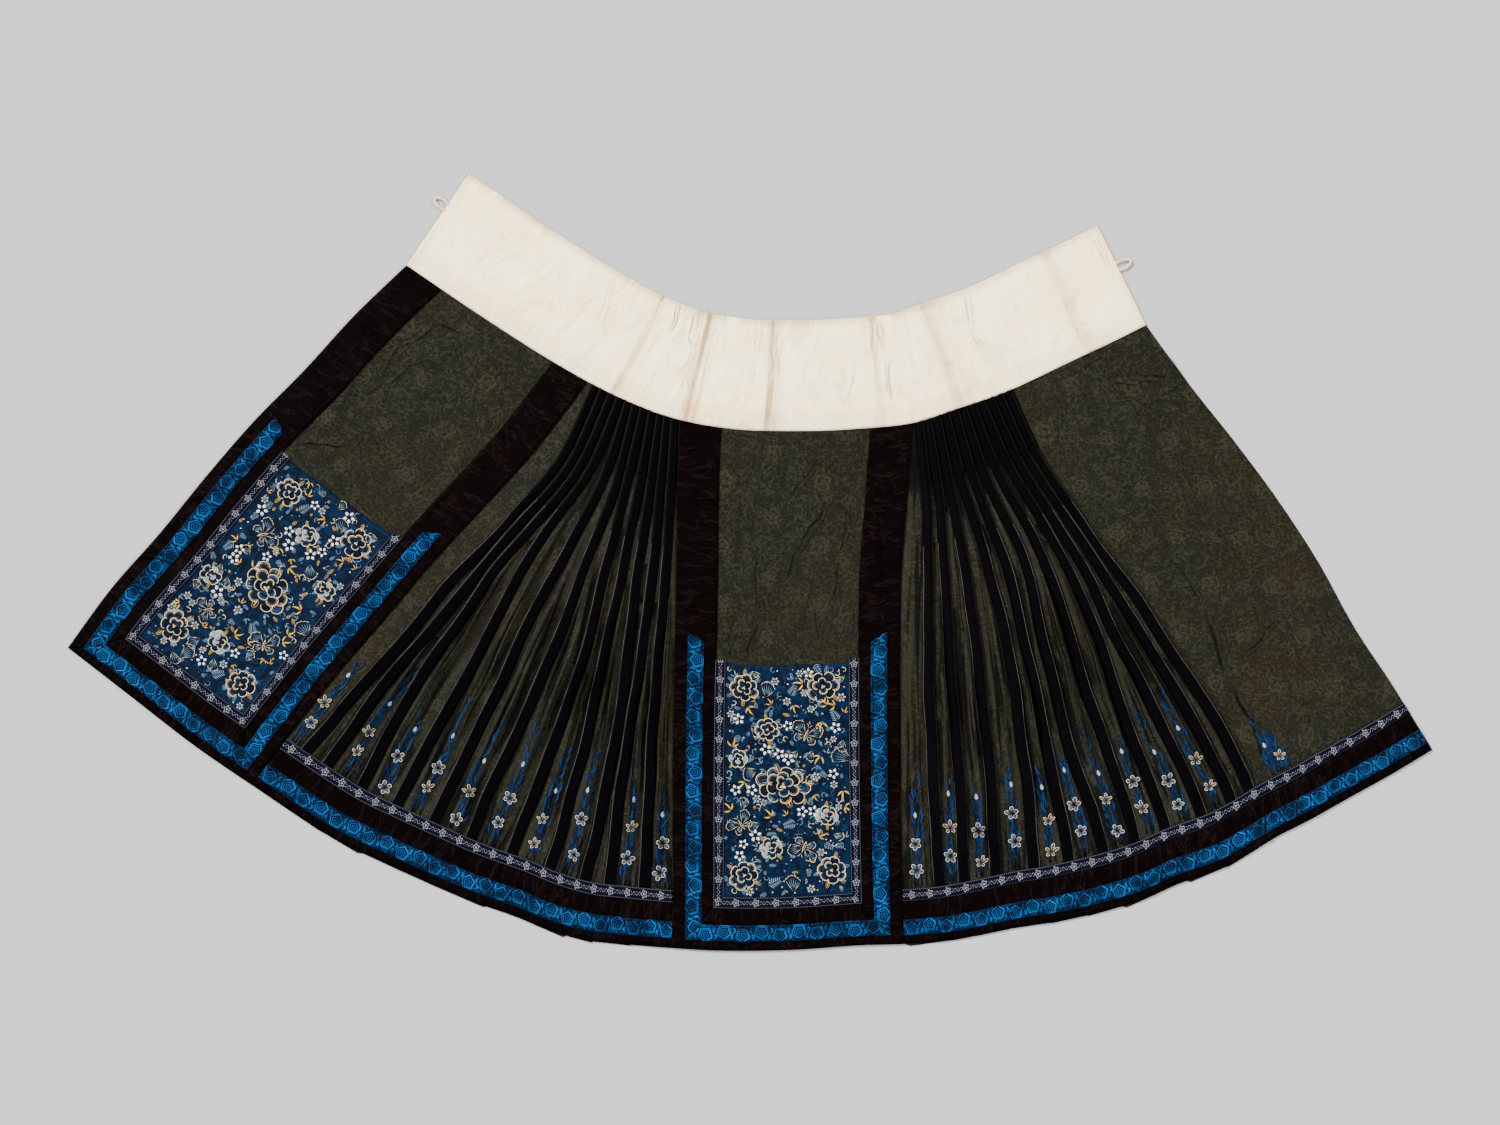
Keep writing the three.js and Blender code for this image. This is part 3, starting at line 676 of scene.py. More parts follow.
def flower_cells(look, uv, pitch, shift):
    """Distance from the middle of each flower of a half-drop repeat, and the angle there"""
    place = look.vector("ADD", uv, shift)
    cell_x = look.part(place, 0) / pitch
    cell_y = look.part(place, 1) / (pitch * 1.22)
    column = cell_x.maths("FLOOR")
    drop = column.maths("MODULO", 2.0) * 0.5
    x = cell_x.maths("FRACT") - 0.5
    y = (cell_y + drop).maths("FRACT") - 0.5
    away = (x * x + y * y * 1.5).maths("SQRT")
    return away, y.maths("ARCTAN2", x)


def damask_look(name, rows=(), hip=None):
    """Damask with sharp creases in rows, with painted shadow and highlight along each, or pleated, with
    painted shadow and highlight in its crumples and painted black shade from hip on across the waist
    """
    damask = Look(name, Specular_IOR_Level=0.02)
    uv = damask.uv()
    bend = damask.node("ShaderNodeTexNoise", None, {"Vector": uv, "Scale": 30.0, "Detail": 2}, out=1)
    bent = damask.vector("MULTIPLY_ADD", bend, (0.020, 0.020, 0), uv)
    away, turn = flower_cells(damask, bent, DAMASK_REPEAT, (0.5, 0.9, 0))
    petals = (turn * 6.0).maths("COSINE") * 0.040
    bloom = damask.band(away + petals, 0.0, 0.19, 0.02)
    rings = damask.band((away * 58.0 + (turn * 6.0).maths("SINE") * 1.2).maths("SINE"), 0.35, 2, 0.3)
    away_small, turn_small = flower_cells(damask, bent, DAMASK_REPEAT, (0.537, 0.92, 0))
    bud = damask.band(away_small + (turn_small * 5.0).maths("COSINE") * 0.05, 0.07, 0.12, 0.02)
    curls = damask.clouds(uv, 62.0, detail=1, distortion=1.4)
    stems = damask.band(abs(curls - 0.5), -1, 0.022, 0.012)
    second = damask.clouds(uv, 38.0, detail=1, distortion=2.2)
    leaves = damask.band(abs(second - 0.46), -1, 0.018, 0.014)
    figure = (bloom * (0.2 + 0.8 * rings) + bud * 0.7).maths("MAXIMUM", stems * 0.7)
    figure = figure.maths("MAXIMUM", leaves * 0.75)
    fleck = damask.clouds(uv, 210.0, detail=3, distortion=0.5)
    figure = figure * damask.band(fleck, 0.44, 2, 0.12)
    wear = damask.clouds(uv, 6.0, detail=5)
    faded = damask.clouds(uv, 3.1, detail=2)
    twill = damask.threads(damask.scaled(uv, (1, 1, 1), 0.8), 380, "X")
    grain = damask.clouds(uv, 480.0, detail=2)
    olive = damask.mix(wear, (0.0046, 0.0046, 0.0026), (0.0072, 0.0070, 0.0041))
    olive = damask.mix(damask.band(faded, 0.56, 2, 0.10) * 0.65, olive, (0.0100, 0.0066, 0.0036))
    slate = damask.clouds(damask.scaled(uv, (1, 1.3, 1), 1.1), 8.0, detail=3, distortion=0.6)
    olive = damask.mix(damask.band(slate, 0.56, 2, 0.09) * 0.60, olive, (0.0058, 0.0061, 0.0051))
    olive = damask.mix(figure * 0.8, olive, (0.0192, 0.0186, 0.0108))
    olive = damask.mix(damask.band(fleck, -1, 0.40, 0.08) * 0.52, olive, (0.0026, 0.0026, 0.0015))
    olive = damask.mix(grain * 0.25, olive, (0.0120, 0.0114, 0.0070))
    crumple = 0.0
    standing = None
    if rows:
        ridge, shadow = damask.creases(rows)
        # Painted highlight on the raised side of each crease, and painted shadow in its fold
        olive = damask.mix(ridge * 0.22, olive, (0.0150, 0.0146, 0.0096))
        olive = damask.mix(shadow, olive, (0.0009, 0.0009, 0.0007))
        standing = damask.bump(ridge - shadow, 0.0035, 0.8)
    if hip is not None:
        side = damask.part(uv, 0)
        down = damask.part(uv, 1)
        gores = damask.node("ShaderNodeUVMap", {"uv_map": "lengthwise"})
        long_folds = damask.scaled(gores, (54, 5, 1))
        crumple = damask.clouds(long_folds, 1.0, detail=3, roughness=0.55, distortion=0.25)
        past_first = damask.band(damask.part(gores, 0), 0.0045, 9, 0.001)
        opening = damask.band(down, 0.12, 0.70, 0.10) * past_first
        # Painted shadow in the hollows between the lengthwise crumples, and painted highlight on their
        # crests
        crumple_painted_shadow = damask.band(crumple, -1, 0.43, 0.06) * opening * 0.85
        olive = damask.mix(crumple_painted_shadow, olive, (0.0011, 0.0011, 0.0009))
        crumple_painted_highlight = damask.band(crumple, 0.58, 2, 0.06) * opening * 0.35
        olive = damask.mix(crumple_painted_highlight, olive, (0.0170, 0.0166, 0.0115))
        # Painted black shade above the hip, from the share hip on across, where the pressed pleats lie
        # close
        black = damask.band(down, -1, 0.085, 0.035) * damask.band(side, hip, 9, 0.008)
        olive = damask.mix(black * 0.9, olive, (0.0007, 0.0007, 0.0009))
        crumple = 14.0 * crumple * past_first
    height = crumple + 0.55 * figure + 0.3 * twill + 0.35 * grain + 1.2 * fleck
    damask.finish(Base_Color=olive, Roughness=0.66 - 0.20 * figure + 0.06 * grain,
                  Normal=damask.bump(height, 0.00030, 0.8, standing))
    return damask.material


left_damask = damask_look("left_damask", (
    (-558, 283, -519, 325, 8, 0.45), (-522, 322, -468, 355, 8, 0.5), (-474, 355, -426, 343, 8, 0.55),
    (-552, 262, -501, 295, 7, 0.4), (-585, 247, -549, 272, 8, 0.5), (-677, 179, -606, 172, 7, 0.6),
    (-525, 289, -468, 301, 7, 0.3), (-462, 187, -441, 214, 6, 0.3), (-640, 96, -668, 60, 7, 0.3),
    (-390, 255, -352, 268, 8, 0.3),
))

# The border satin: close maroon warp, worn and finely wrinkled across its length, with painted
# highlights along its wrinkles
maroon = Look("maroon_satin", Specular_IOR_Level=0.012)
maroon_uv = maroon.uv()
wrinkle = maroon.clouds(maroon.scaled(maroon_uv, (58, 20, 1), 0.5), 1.0, detail=4, distortion=1.6)
fold = maroon.clouds(maroon.scaled(maroon_uv, (13, 12, 1), 0.4), 1.0, detail=3, distortion=1.1)
warp = maroon.threads(maroon_uv, 420, "Y")
rub = maroon.clouds(maroon_uv, 40.0, detail=5)
red = maroon.mix(rub, (0.0005, 0.0001, 0.0001), (0.0015, 0.0004, 0.0004))
# Painted highlight: a thin lighter line along each wrinkle
red = maroon.mix(maroon.band(wrinkle, 0.585, 0.60, 0.035) * 0.6, red, (0.0062, 0.0026, 0.0026))
maroon_fold = maroon.bump(fold, 0.010, 0.8)
maroon.finish(Base_Color=red, Roughness=0.50 + 0.12 * rub,
              Normal=maroon.bump(wrinkle + 0.03 * warp, 0.0030, 0.9, maroon_fold))

# The bright ribbon: blue satin woven with pale rose rings, leaves and fine scrolls
ROSE = 0.028
RIBBON_MIDDLE = 0.0128
ribbon = Look("blue_rose_ribbon", Specular_IOR_Level=0.03)
ribbon_uv = ribbon.uv()
run = ribbon.part(ribbon_uv, 0)
cross = ribbon.part(ribbon_uv, 1)
side_step = ((run / (2 * ROSE)).maths("FRACT") > 0.5) * 0.0052 - 0.0026
rose_run = (run / ROSE).maths("FRACT") - 0.5
rose_side = (cross - RIBBON_MIDDLE + side_step) / ROSE
away = (rose_run * rose_run + rose_side * rose_side).maths("SQRT")
turn = rose_side.maths("ARCTAN2", rose_run)
rings = (away * 50.0 + (turn * 5.0).maths("SINE") * 1.5 + turn * 1.0).maths("SINE")
in_rose = ribbon.band(away + (turn * 5.0).maths("SINE") * 0.02, -1, 0.33, 0.03)
rose = ribbon.band(rings, 0.86, 2.0, 0.34) * in_rose
rose_rim = ribbon.band(away + (turn * 5.0).maths("SINE") * 0.03, 0.325, 0.35, 0.025)
cells = ribbon.node("ShaderNodeTexVoronoi", {"feature": "DISTANCE_TO_EDGE"},
                    {"Vector": ribbon_uv, "Scale": 210.0})
net = ribbon.band(cells, -1, 0.05, 0.05) * (1 - in_rose)
bud_run = (run / ROSE + 0.5).maths("FRACT") - 0.5
bud_side = (cross - RIBBON_MIDDLE - side_step * 1.8) / ROSE
bud = ribbon.band((bud_run * bud_run + bud_side * bud_side).maths("SQRT"), 0.06, 0.12, 0.03)
pattern = rose.maths("MAXIMUM", net * 0.30).maths("MAXIMUM", rose_rim).maths("MAXIMUM", bud * 0.8)
low_edge = ribbon.band(cross, -1, 0.0007, 0.0005)
edges = low_edge.maths("MAXIMUM", ribbon.band(cross, 0.0252, 9, 0.0004))
shine = ribbon.band(ribbon.clouds(ribbon_uv, 34.0, detail=4, roughness=0.6), 0.62, 2, 0.26)
blue = ribbon.mix(shine, (0.00003, 0.0003, 0.0024), (0.0001, 0.0013, 0.0080))
blue = ribbon.mix(in_rose * 0.15 * shine, blue, (0.0001, 0.0035, 0.0200))
blue = ribbon.mix(pattern * (0.22 + 0.90 * shine), blue, (0.0020, 0.0620, 0.1900))
blue = ribbon.mix(edges * 0.8, blue, (0.0001, 0.0014, 0.0090))
ribbon_thread = ribbon.threads(ribbon_uv, 520, "X")
ribbon.finish(Base_Color=blue, Roughness=0.46 + 0.16 * shine,
              Normal=ribbon.bump(pattern + 0.25 * ribbon_thread + 2.5 * shine, 0.0003, 0.6))

# The narrow braid: navy, with white five-petalled flowers on a waving stem between dotted edges
BRAID_FLOWER = 0.030
BRAID_LEAF = 0.0050
BRAID_MIDDLE = 0.008
braid = Look("navy_flower_braid", Roughness=0.75, Specular_IOR_Level=0.03)
braid_uv = braid.uv()
run = braid.part(braid_uv, 0)
cross = braid.part(braid_uv, 1)
cell = (run / BRAID_FLOWER).maths("FRACT") - 0.5
side = (cross - BRAID_MIDDLE) / BRAID_FLOWER
away = (cell * cell + side * side).maths("SQRT")
turn = side.maths("ARCTAN2", cell)
flower = braid.band(away + (turn * 5.0).maths("COSINE") * 0.034, 0.115, 0.158, 0.014)
eye = braid.band(away, 0.0, 0.045, 0.015)
waving = (run * (math.pi / BRAID_LEAF)).maths("SINE") * 0.0020 + BRAID_MIDDLE
stem = braid.band(abs(cross - waving), -1, 0.00030, 0.0003) * (away > 0.21)
leaf_run = (run / BRAID_LEAF).maths("FRACT") - 0.5
leaf_side = (cross - 2 * BRAID_MIDDLE + waving) / BRAID_LEAF
leaf_away = (leaf_run * leaf_run + leaf_side * leaf_side).maths("SQRT")
leaves = braid.band(leaf_away, -1, 0.10, 0.08) * (away > 0.22)
dots = braid.threads(braid_uv, 95, "X") > 0.5
low_rim = braid.band(cross, 0.0006, 0.0012, 0.0004)
rim = low_rim.maths("MAXIMUM", braid.band(cross, 0.0147, 0.0153, 0.0004))
white = (flower * 0.9).maths("MAXIMUM", eye).maths("MAXIMUM", stem * 0.85).maths("MAXIMUM", leaves * 0.6)
white = white.maths("MAXIMUM", rim * (0.05 + 0.35 * dots))
pile = braid.clouds(braid_uv, 420.0, detail=3)
navy = braid.mix(pile, (0.0003, 0.0004, 0.0026), (0.0009, 0.0010, 0.0064))
braid.finish(Base_Color=braid.mix(white * 0.90, navy, (0.128, 0.128, 0.146)),
             Normal=braid.bump(white + 0.4 * pile, 0.0004, 0.7))

left_plan = Plan("left_edge", "left_seam")
PANEL_FRAMES = {
    "border": ((0.5, 63), (0.5, 72), (0, 0)),
    "ribbon": ((19, 44), (21, 47), (309, 322)),
    "braid": ((61, 77), (69, 84), (346, 346)),
}


def decorated_panel(name, plan, base, damask):
    """One panel of damask and what is sewn on it, each with its own node"""
    ground, area = cloth(f"{name}_damask", [(72, 132, panel(plan, base + CLOTH))],
                         damask, f"{name}_ground", "damask")
    plan.width(1) * 0.001 + 0.002
    min(area, plan.width(1) * 0.0008)
    first = base + LAYER_STEP + TRIM
    second = first + LAYER_GAP + TRIM
    for part, look, slot, height, waves in (("border", maroon, "maroon_satin", first, 0.5),
                                            ("ribbon", ribbon, "ribbon", second, 0.7),
                                            ("braid", braid, "braid", second, 0.6)):
        side, hem, top = PANEL_FRAMES[part]
        strip, area = cloth(f"{name}_{part}_strip", frame_strips(plan, side, hem, top, height, waves),
                            look.material, f"{name}_{part}", slot)


decorated_panel("left", left_plan, 0, left_damask)

# Under panel: the plain damask panel that ends the first half of the skirt. The decorated centre
# panel lies over it, and it is a little narrower and shorter.
under_damask = damask_look("under_damask")
centre_plan = Plan("centre_left", "centre_right")
under, area = cloth("under_panel_damask", [(24, 60, panel(centre_plan, CLOTH, None, 0.98, 0.98))],
                    under_damask, "under_panel", "damask")

# Centre panel: decorated as the left one is, with the same borders and widths. It lies over the
# under panel, between the two pleated sections.
centre_damask = damask_look("centre_damask", (
    (-18, 194, 11, 184, 8, 0.4), (-33, 149, -15, 128, 6, 0.5), (119, 179, 54, 85, 8, 0.55),
    (117, 97, 68, 10, 9, 0.7), (71, 16, 56, -26, 9, 0.7), (147, 94, 135, 4, 7, 0.45),
    (135, 10, 120, -68, 7, 0.5), (0, 79, 5, 22, 7, 0.35), (14, 22, 5, -80, 9, 0.5),
    (12, -89, -5, -149, 10, 0.7), (-18, -80, -39, -122, 8, 0.6), (-20, -101, -29, -149, 9, 0.7),
    (101, -65, 102, -116, 7, 0.5), (159, -62, 147, -119, 7, 0.4),
))
decorated_panel("centre", centre_plan, LAYER_STEP, centre_damask)

# Pleated sections: eleven knife pleats each, pressed flat and tacked at the hip, that open towards
# the hem. Damask gores show between them, and every folded edge is bound with black satin.
SEAM_FLAT = 1.5
FOLD_HEIGHTS = (0, 0.14, 0.3, 0.5, 0.7, 0.9)
LEFT_FOLDS = (
    (0.04, 0.13, 0.1, 0.07, 0.055, 0.035), (0.13, 0.2, 0.15, 0.118, 0.095, 0.09),
    (0.22, 0.265, 0.2, 0.17, 0.17, 0.18), (0.31, 0.335, 0.27, 0.275, 0.275, 0.27),
    (0.4, 0.44, 0.405, 0.385, 0.38, 0.365), (0.48, 0.53, 0.515, 0.505, 0.48, 0.46),
    (0.57, 0.6, 0.61, 0.62, 0.595, 0.565), (0.66, 0.69, 0.69, 0.695, 0.69, 0.665),
    (0.75, 0.77, 0.77, 0.785, 0.78, 0.755), (0.825, 0.842, 0.845, 0.835, 0.825, 0.82),
    (0.905, 0.918, 0.915, 0.91, 0.91, 0.91),
)
RIGHT_FOLDS = (
    (0.11, 0.18, 0.17, 0.135, 0.125, 0.12), (0.19, 0.265, 0.255, 0.225, 0.205, 0.187),
    (0.28, 0.35, 0.36, 0.335, 0.305, 0.275), (0.37, 0.44, 0.48, 0.46, 0.415, 0.384),
    (0.46, 0.525, 0.565, 0.53, 0.495, 0.482), (0.54, 0.61, 0.655, 0.6, 0.57, 0.58),
    (0.63, 0.7, 0.745, 0.7, 0.673, 0.667), (0.72, 0.79, 0.825, 0.8, 0.755, 0.752),
    (0.81, 0.86, 0.885, 0.862, 0.848, 0.854), (0.9, 0.925, 0.94, 0.94, 0.935, 0.935),
    (0.985, 0.985, 0.99, 0.99, 0.988, 0.985),
)
FACE_POINTS = 5
GORE_POINTS = 17
# A soft fold on a gore: its place across, how that drifts, where it starts and ends down the skirt,
# its height and half width in mm, and its phase
SOFT_FOLD = ((0.15, 0.8), (-0.25, 0.25), (0.1, 0.45), (0.6, 0.95), (3.0, 7.0), (1.7, 3.6), (0, 6))
# How far down, how deep a fold doubles back, the turn that it makes, and its satin band's width
PLEAT_ROWS = (
    (0, 6, 180, 13), (0.07, 6, 180, 13.5), (0.15, 5.5, 180, 14), (0.25, 5, 180, 15),
    (0.37, 4.5, 180, 16), (0.49, 4, 180, 17), (0.6, 3.5, 180, 17.5), (0.68, 3, 145, 18),
    (0.75, 2.6, 90, 18), (0.82, 2.4, 35, 18), (0.87, 2.2, 0, 18), (1, 2.2, 0, 18),
)


def pleat_row(down, column):
    for above, below in zip(PLEAT_ROWS, PLEAT_ROWS[1:]):
        if down <= below[0]:
            return lerp(above[column], below[column], (down - above[0]) / (below[0] - above[0]))
    return PLEAT_ROWS[-1][column]


def fold_share(fold, down):
    return read_table(list(zip(FOLD_HEIGHTS, fold)), min(down, 0.9))


def fold_section(down, pitch):
    """The doubled-back cloth and the face of one fold: x past its folded edge, and height"""
    turn = math.radians(pleat_row(down, 2))
    closed = (1 - math.cos(turn)) / 2
    overlap = min(pleat_row(down, 1), 0.42 * pitch)
    rise = closed * 2 * LAYER_STEP * overlap / pitch
    riser = (LAYER_STEP * math.cos(turn / 2), LAYER_STEP * math.sin(turn / 2))
    back = (overlap * math.cos(turn), overlap * math.sin(turn) + rise)
    top = 2 * riser[1] + back[1]
    start = -2 * riser[0] - back[0]
    reach = min(pleat_row(down, 3), pitch - 1.7 + min(0, start))
    hidden = [(start, 0), (start + riser[0], riser[1]), (-riser[0], top - riser[1])]
    brow = (overlap + 1, top - rise - 0.25 * top * math.sin(turn))
    foot = (reach, 0.85 * rise + 0.05 * top)
    return hidden, [(0, top), brow, foot]


class Pleats:
    """One section of folds, counted from the side that their faces slope away from"""

    def __init__(self, plan, folds, mirrored):
        self.plan = plan
        self.mirrored = mirrored
        self.folds = list(reversed(folds)) if mirrored else list(folds)
        chance = random.Random(17 if mirrored else 5)
        self.soft_folds = [[[chance.uniform(*span) for span in SOFT_FOLD] for _ in range(5)]
                           for _ in folds]
        self.wall = keep(self.wall)

    def point(self, share, down, x):
        at = (lambda s: self.plan.at(1 - s if self.mirrored else s, down))
        across = (at(share + 0.002) - at(share - 0.002)).normalized()
        return at(share) + across * x

    def wall(self, down):
        """The whole path across at this height, and where the face of each fold starts in it"""
        width = self.plan.width(down)
        shares = [abs(self.mirrored - fold_share(fold, down))
                  + 3.6 * noise(Vector((k * 4.7, down * 7.5, 30))) / width * smooth(down, 0.1, 0.4)
                  * (1 - smooth(down, 0.8, 0.88))
                  for k, fold in enumerate(self.folds)]
        ends = shares[1:] + [1 - SEAM_FLAT / width]
        path, faces = [(0.0, 0.0, 0.0)], []
        open_part = smooth(down, 0.12, 0.5) * (1 - 0.93 * smooth(down, 0.83, 0.88))
        for k, (share, end) in enumerate(zip(shares, ends)):
            pitch = (end - share) * width
            hidden, face = fold_section(down, pitch)
            gore = pitch - face[2][0] - 7
            path += [(share, x, z) for x, z in hidden]
            faces.append(len(path))
            between = [(lerp(face[1][0], face[2][0], part), lerp(face[1][1], face[2][1], part))
                       for part in (0.33, 0.67)]
            path += [(share, x, z) for x, z in face[:2] + between + face[2:]]
            for step in range(GORE_POINTS):
                part = (step + 1) / (GORE_POINTS + 1)
                x = face[2][0] + part * max(gore, 0.8)
                away = part * max(gore, 0.8)
                hump = math.sin(math.pi * part) * (1.2 + 1.6 * noise(Vector((k * 3.3, down * 3.4, 8))))
                for fold in self.soft_folds[k]:
                    middle, drift, start, end, height, half_width, phase = fold
                    at = (middle + drift * down) * gore + 2.2 * math.sin(9 * down + phase)
                    reach = smooth(down, start, start + 0.1) * (1 - smooth(down, end - 0.12, end))
                    hump += height * reach * math.exp(-(abs(away - at) / half_width) ** 1.5)
                run = share * width + x
                hump += 2.0 * noise(Vector((run * 0.045, down * 9, 12 + 7 * self.mirrored)))
                path.append((share, x, face[2][1] + max(0.0, hump) * open_part * min(gore / 10, 1)
                             * min(1.0, 7 * part, 7 * (1 - part))))
        path += [(1 - SEAM_FLAT / width, 0.0, 0.0), (1.0, 0.0, 0.0)]
        return path, faces

    def stops(self, down, first, last, out):
        """Points of the path, each moved out from the cloth, and the flat distance across to it"""
        path, _ = self.wall(down)
        part = path[first:last]
        width = self.plan.width(down)
        flat = [Vector((share * width + x, z)) for share, x, z in part]
        normals = [Vector((-(b.y - a.y), b.x - a.x)).normalized() for a, b in zip(flat, flat[1:])]
        points, run, total = [], 0.0, []
        for k, (share, x, z) in enumerate(part):
            before, after = normals[max(k - 1, 0)], normals[min(k, len(normals) - 1)]
            mitre = (before + after) / max(1 + before.dot(after), 0.25)
            run += (flat[k] - flat[k - 1]).length if k else 0.0
            place = self.point(share, down, x + mitre.x * out)
            height = max(0.45, z + mitre.y * out + CLOTH / 2) + lift(place.x, place.y) * 0.8
            points.append((place.x, place.y, height))
            total.append(run)
        return points, total


pleat_damask = {"left": damask_look("left_pleat_damask", hip=0.052),
                "right": damask_look("right_pleat_damask", hip=-1.0)}

satin = Look("black_satin_band", Specular_IOR_Level=0.011)
satin_uv = satin.uv()
satin_cross = satin.part(satin_uv, 0)
pull = satin.clouds(satin.scaled(satin_uv, (30, 24, 1)), 1.0, detail=4, distortion=1.0)
rub = satin.clouds(satin_uv, 60.0, detail=5)
edge_wear = satin.band(satin_cross, -0.01, 0.0006, 0.0012) * satin.band(rub, 0.45, 1.0, 0.1)
black = satin.mix(rub, (0.0002, 0.0002, 0.0003), (0.0012, 0.0009, 0.0012))
black = satin.mix(edge_wear * 0.5, black, (0.010, 0.0085, 0.0085))
satin_thread = satin.threads(satin_uv, 480, "Y")
satin.finish(Base_Color=black, Roughness=0.46 + 0.14 * rub,
             Normal=satin.bump(pull + 0.06 * satin_thread, 0.0012, 0.6))

THREAD_RADIUS = 0.30
thread = Look("couched_white_thread", Roughness=0.7)
twist = thread.threads(thread.scaled(thread.places(), (1, 1, 1), 0.7), 260, "X")
fine_gaps = thread.clouds(thread.places(), 140.0, detail=3)
long_gaps = thread.clouds(thread.places(), 22.0, detail=3)
gaps = fine_gaps * thread.band(long_gaps, 0.50, 2, 0.10)
thread.finish(Base_Color=thread.mix(twist * gaps, (0.003, 0.0025, 0.002), (0.150, 0.120, 0.100)),
              Normal=thread.bump(twist, 0.0003, 0.6))


def pleated_section(side, pleats, border):
    """One section's damask and satin bands. Returns the damask and the lines of its edge threads"""
    fold_points = len(pleats.wall(0.5)[0])

    def wall(u, v):
        k = round(u * (fold_points - 1))
        points, run = row_of_wall(round(v, 6))
        return points[k], (run[k], v * SKIRT_LENGTH)

    row_of_wall = keep(lambda down: pleats.stops(down, 0, None, 0.0))
    piece, area = cloth(f"pleats_{side}_damask", [(fold_points - 1, 128, wall)], pleat_damask[side],
                        f"pleats_{side}", "damask", thickness=0.9, offset=0)
    cut = row_of_wall(1.0)[1][-1] * 0.001
    min(area, cut * 0.8)
    band_end = 1 - (border + SEAM_GAP) / SKIRT_LENGTH
    lines = []
    for k in range(len(pleats.folds)):
        number = len(pleats.folds) - k if pleats.mirrored else k + 1
        row_of_band = keep(lambda down, k=k: pleats.stops(
            down, pleats.wall(down)[1][k], pleats.wall(down)[1][k] + FACE_POINTS,
            CLOTH / 2 + LAYER_GAP + TRIM / 2))

        def band(u, v):
            points, run = row_of_band(round(v * band_end, 6))
            n = round(u * (FACE_POINTS - 1))
            return points[n], (run[n], v * band_end * SKIRT_LENGTH)

        name = f"satin_band_{side}_{number:02d}"
        strip, area = cloth(name, [(FACE_POINTS - 1, 110, band)], satin.material,
                            f"band_{side}_{number:02d}", "black_satin", thickness=0.9, offset=0)
        min(area, 0.0124)
        edge, inner, share = (4, 3, 0.12) if pleats.mirrored and number <= 3 else (0, 1, 0.22)
        line = []
        for step in range(150):
            points, _ = row_of_band(round(lerp(0.24, band_end - 0.004, step / 149), 6))
            x, y, z = Vector(points[edge]).lerp(Vector(points[inner]), share)
            line.append((x, y, z + 0.55))
        lines.append(line)
    return piece, lines


left_pleat_plan = Plan("left_seam", "centre_left")
right_pleat_plan = Plan("centre_right", "right_seam")
left_pleats = Pleats(left_pleat_plan, LEFT_FOLDS, False)
right_pleats = Pleats(right_pleat_plan, RIGHT_FOLDS, True)
left_pleated, left_lines = pleated_section("left", left_pleats, 76)
right_pleated, right_lines = pleated_section("right", right_pleats, 75)
lay("couched_edge_threads", round_strips("edge_thread", left_lines + right_lines, THREAD_RADIUS, 1),
    thread.material, "embroidery")

# Plain panel: undecorated damask at the right end, a little narrower at the waist. One long soft
# crease runs down it, and the hem trims of the pleats beside it go on along its hem.
plain_plan = Plan("right_seam", "right_edge")


def plain_crease(across, down):
    middle = lerp(0.66, 0.4, smooth(down, 0, 1)) + 0.008 * math.sin(9 * down)
    fade = smooth(down, 0, 0.12) * (1 - smooth(down, 0.66, 0.86))
    away = (across - middle) / (0.065 if across > middle else 0.020)
    beside = (across - middle + 0.12) / (0.040 if across > middle - 0.12 else 0.015)
    return fade * (5.6 * math.exp(-abs(away) ** 1.5)
                   + 2.4 * math.exp(-abs(beside) ** 1.5) * smooth(down, 0.3, 0.6))


plain_damask = damask_look("plain_damask", (
    (624, 17, 683, -74, 9, 0.4), (676, -64, 717, -176, 11, 0.8), (713, -166, 788, -326, 12, 0.85),
    (690, -90, 712, -140, 6, 0.5), (789, -82, 738, -149, 7, 0.55), (543, 268, 579, 262, 8, 0.5),
    (576, 262, 618, 277, 8, 0.55), (588, 274, 627, 281, 8, 0.7), (603, 247, 648, 266, 8, 0.45),
    (498, 298, 543, 305, 7, 0.35), (640, 130, 668, 60, 8, 0.25), (842, -60, 868, -120, 8, 0.25),
    (560, 150, 590, 60, 9, 0.25),
))
plain, area = cloth("plain_panel_damask", [(80, 132, panel(plain_plan, CLOTH, plain_crease))],
                    plain_damask, "right_panel", "damask")
min(area, 0.2176)


# Hem trims: maroon satin, bright ribbon and braid go round the hem of the pleats and the plain panel,
# sewn over the pleats' lower ends.
def hem_strip(plans, low, high, height, crease):
    """A strip along the hem of the plans, between two distances up from the hem's edge"""
    widths = [plan.width(1) for plan in plans]
    total = sum(widths)

    def place(u, v):
        run = u * total
        k = 0
        while k < len(plans) - 1 and run > widths[k]:
            run -= widths[k]
            k += 1
        distance = lerp(high, low, v) + 0.5 * noise(Vector((u * total * 0.012, 5.3 * v, low)))
        down = 1 - max(distance, 0.2) / SKIRT_LENGTH
        tuck = 0.55 * max(0.0, noise(Vector((u * total * 0.045, 2, 6)))) * (1 + v)
        point = on_plan(plans[k], min(run / widths[k], 1), down, height + tuck, crease if k else None)
        return point, (u * total * 1.03, high - distance)

    return [(220 * len(plans), 6, place)]


for side, plans, trims in (
    ("left", [left_pleat_plan], (20, 48, 76, 72, 88)),
    ("right", [right_pleat_plan, plain_plan], (19, 46, 75, 71, 86)),
):
    ribbon_low, ribbon_high, border_high, braid_low, braid_high = trims
    for part, look, slot, low, high, height in (
        ("border", maroon, "maroon_satin", EDGE_INSET, border_high, LAYER_STEP + TRIM),
        ("ribbon", ribbon, "ribbon", ribbon_low, ribbon_high, LAYER_STEP + 2 * TRIM + LAYER_GAP),
        ("braid", braid, "braid", braid_low, braid_high, LAYER_STEP + 2 * TRIM + LAYER_GAP),
    ):
        strip, area = cloth(f"hem_{part}_{side}_strip", hem_strip(plans, low, high, height, plain_crease),
                            look.material, f"hem_{part}_{side}", slot)
        wide = (high - low) * 0.001
        area / wide

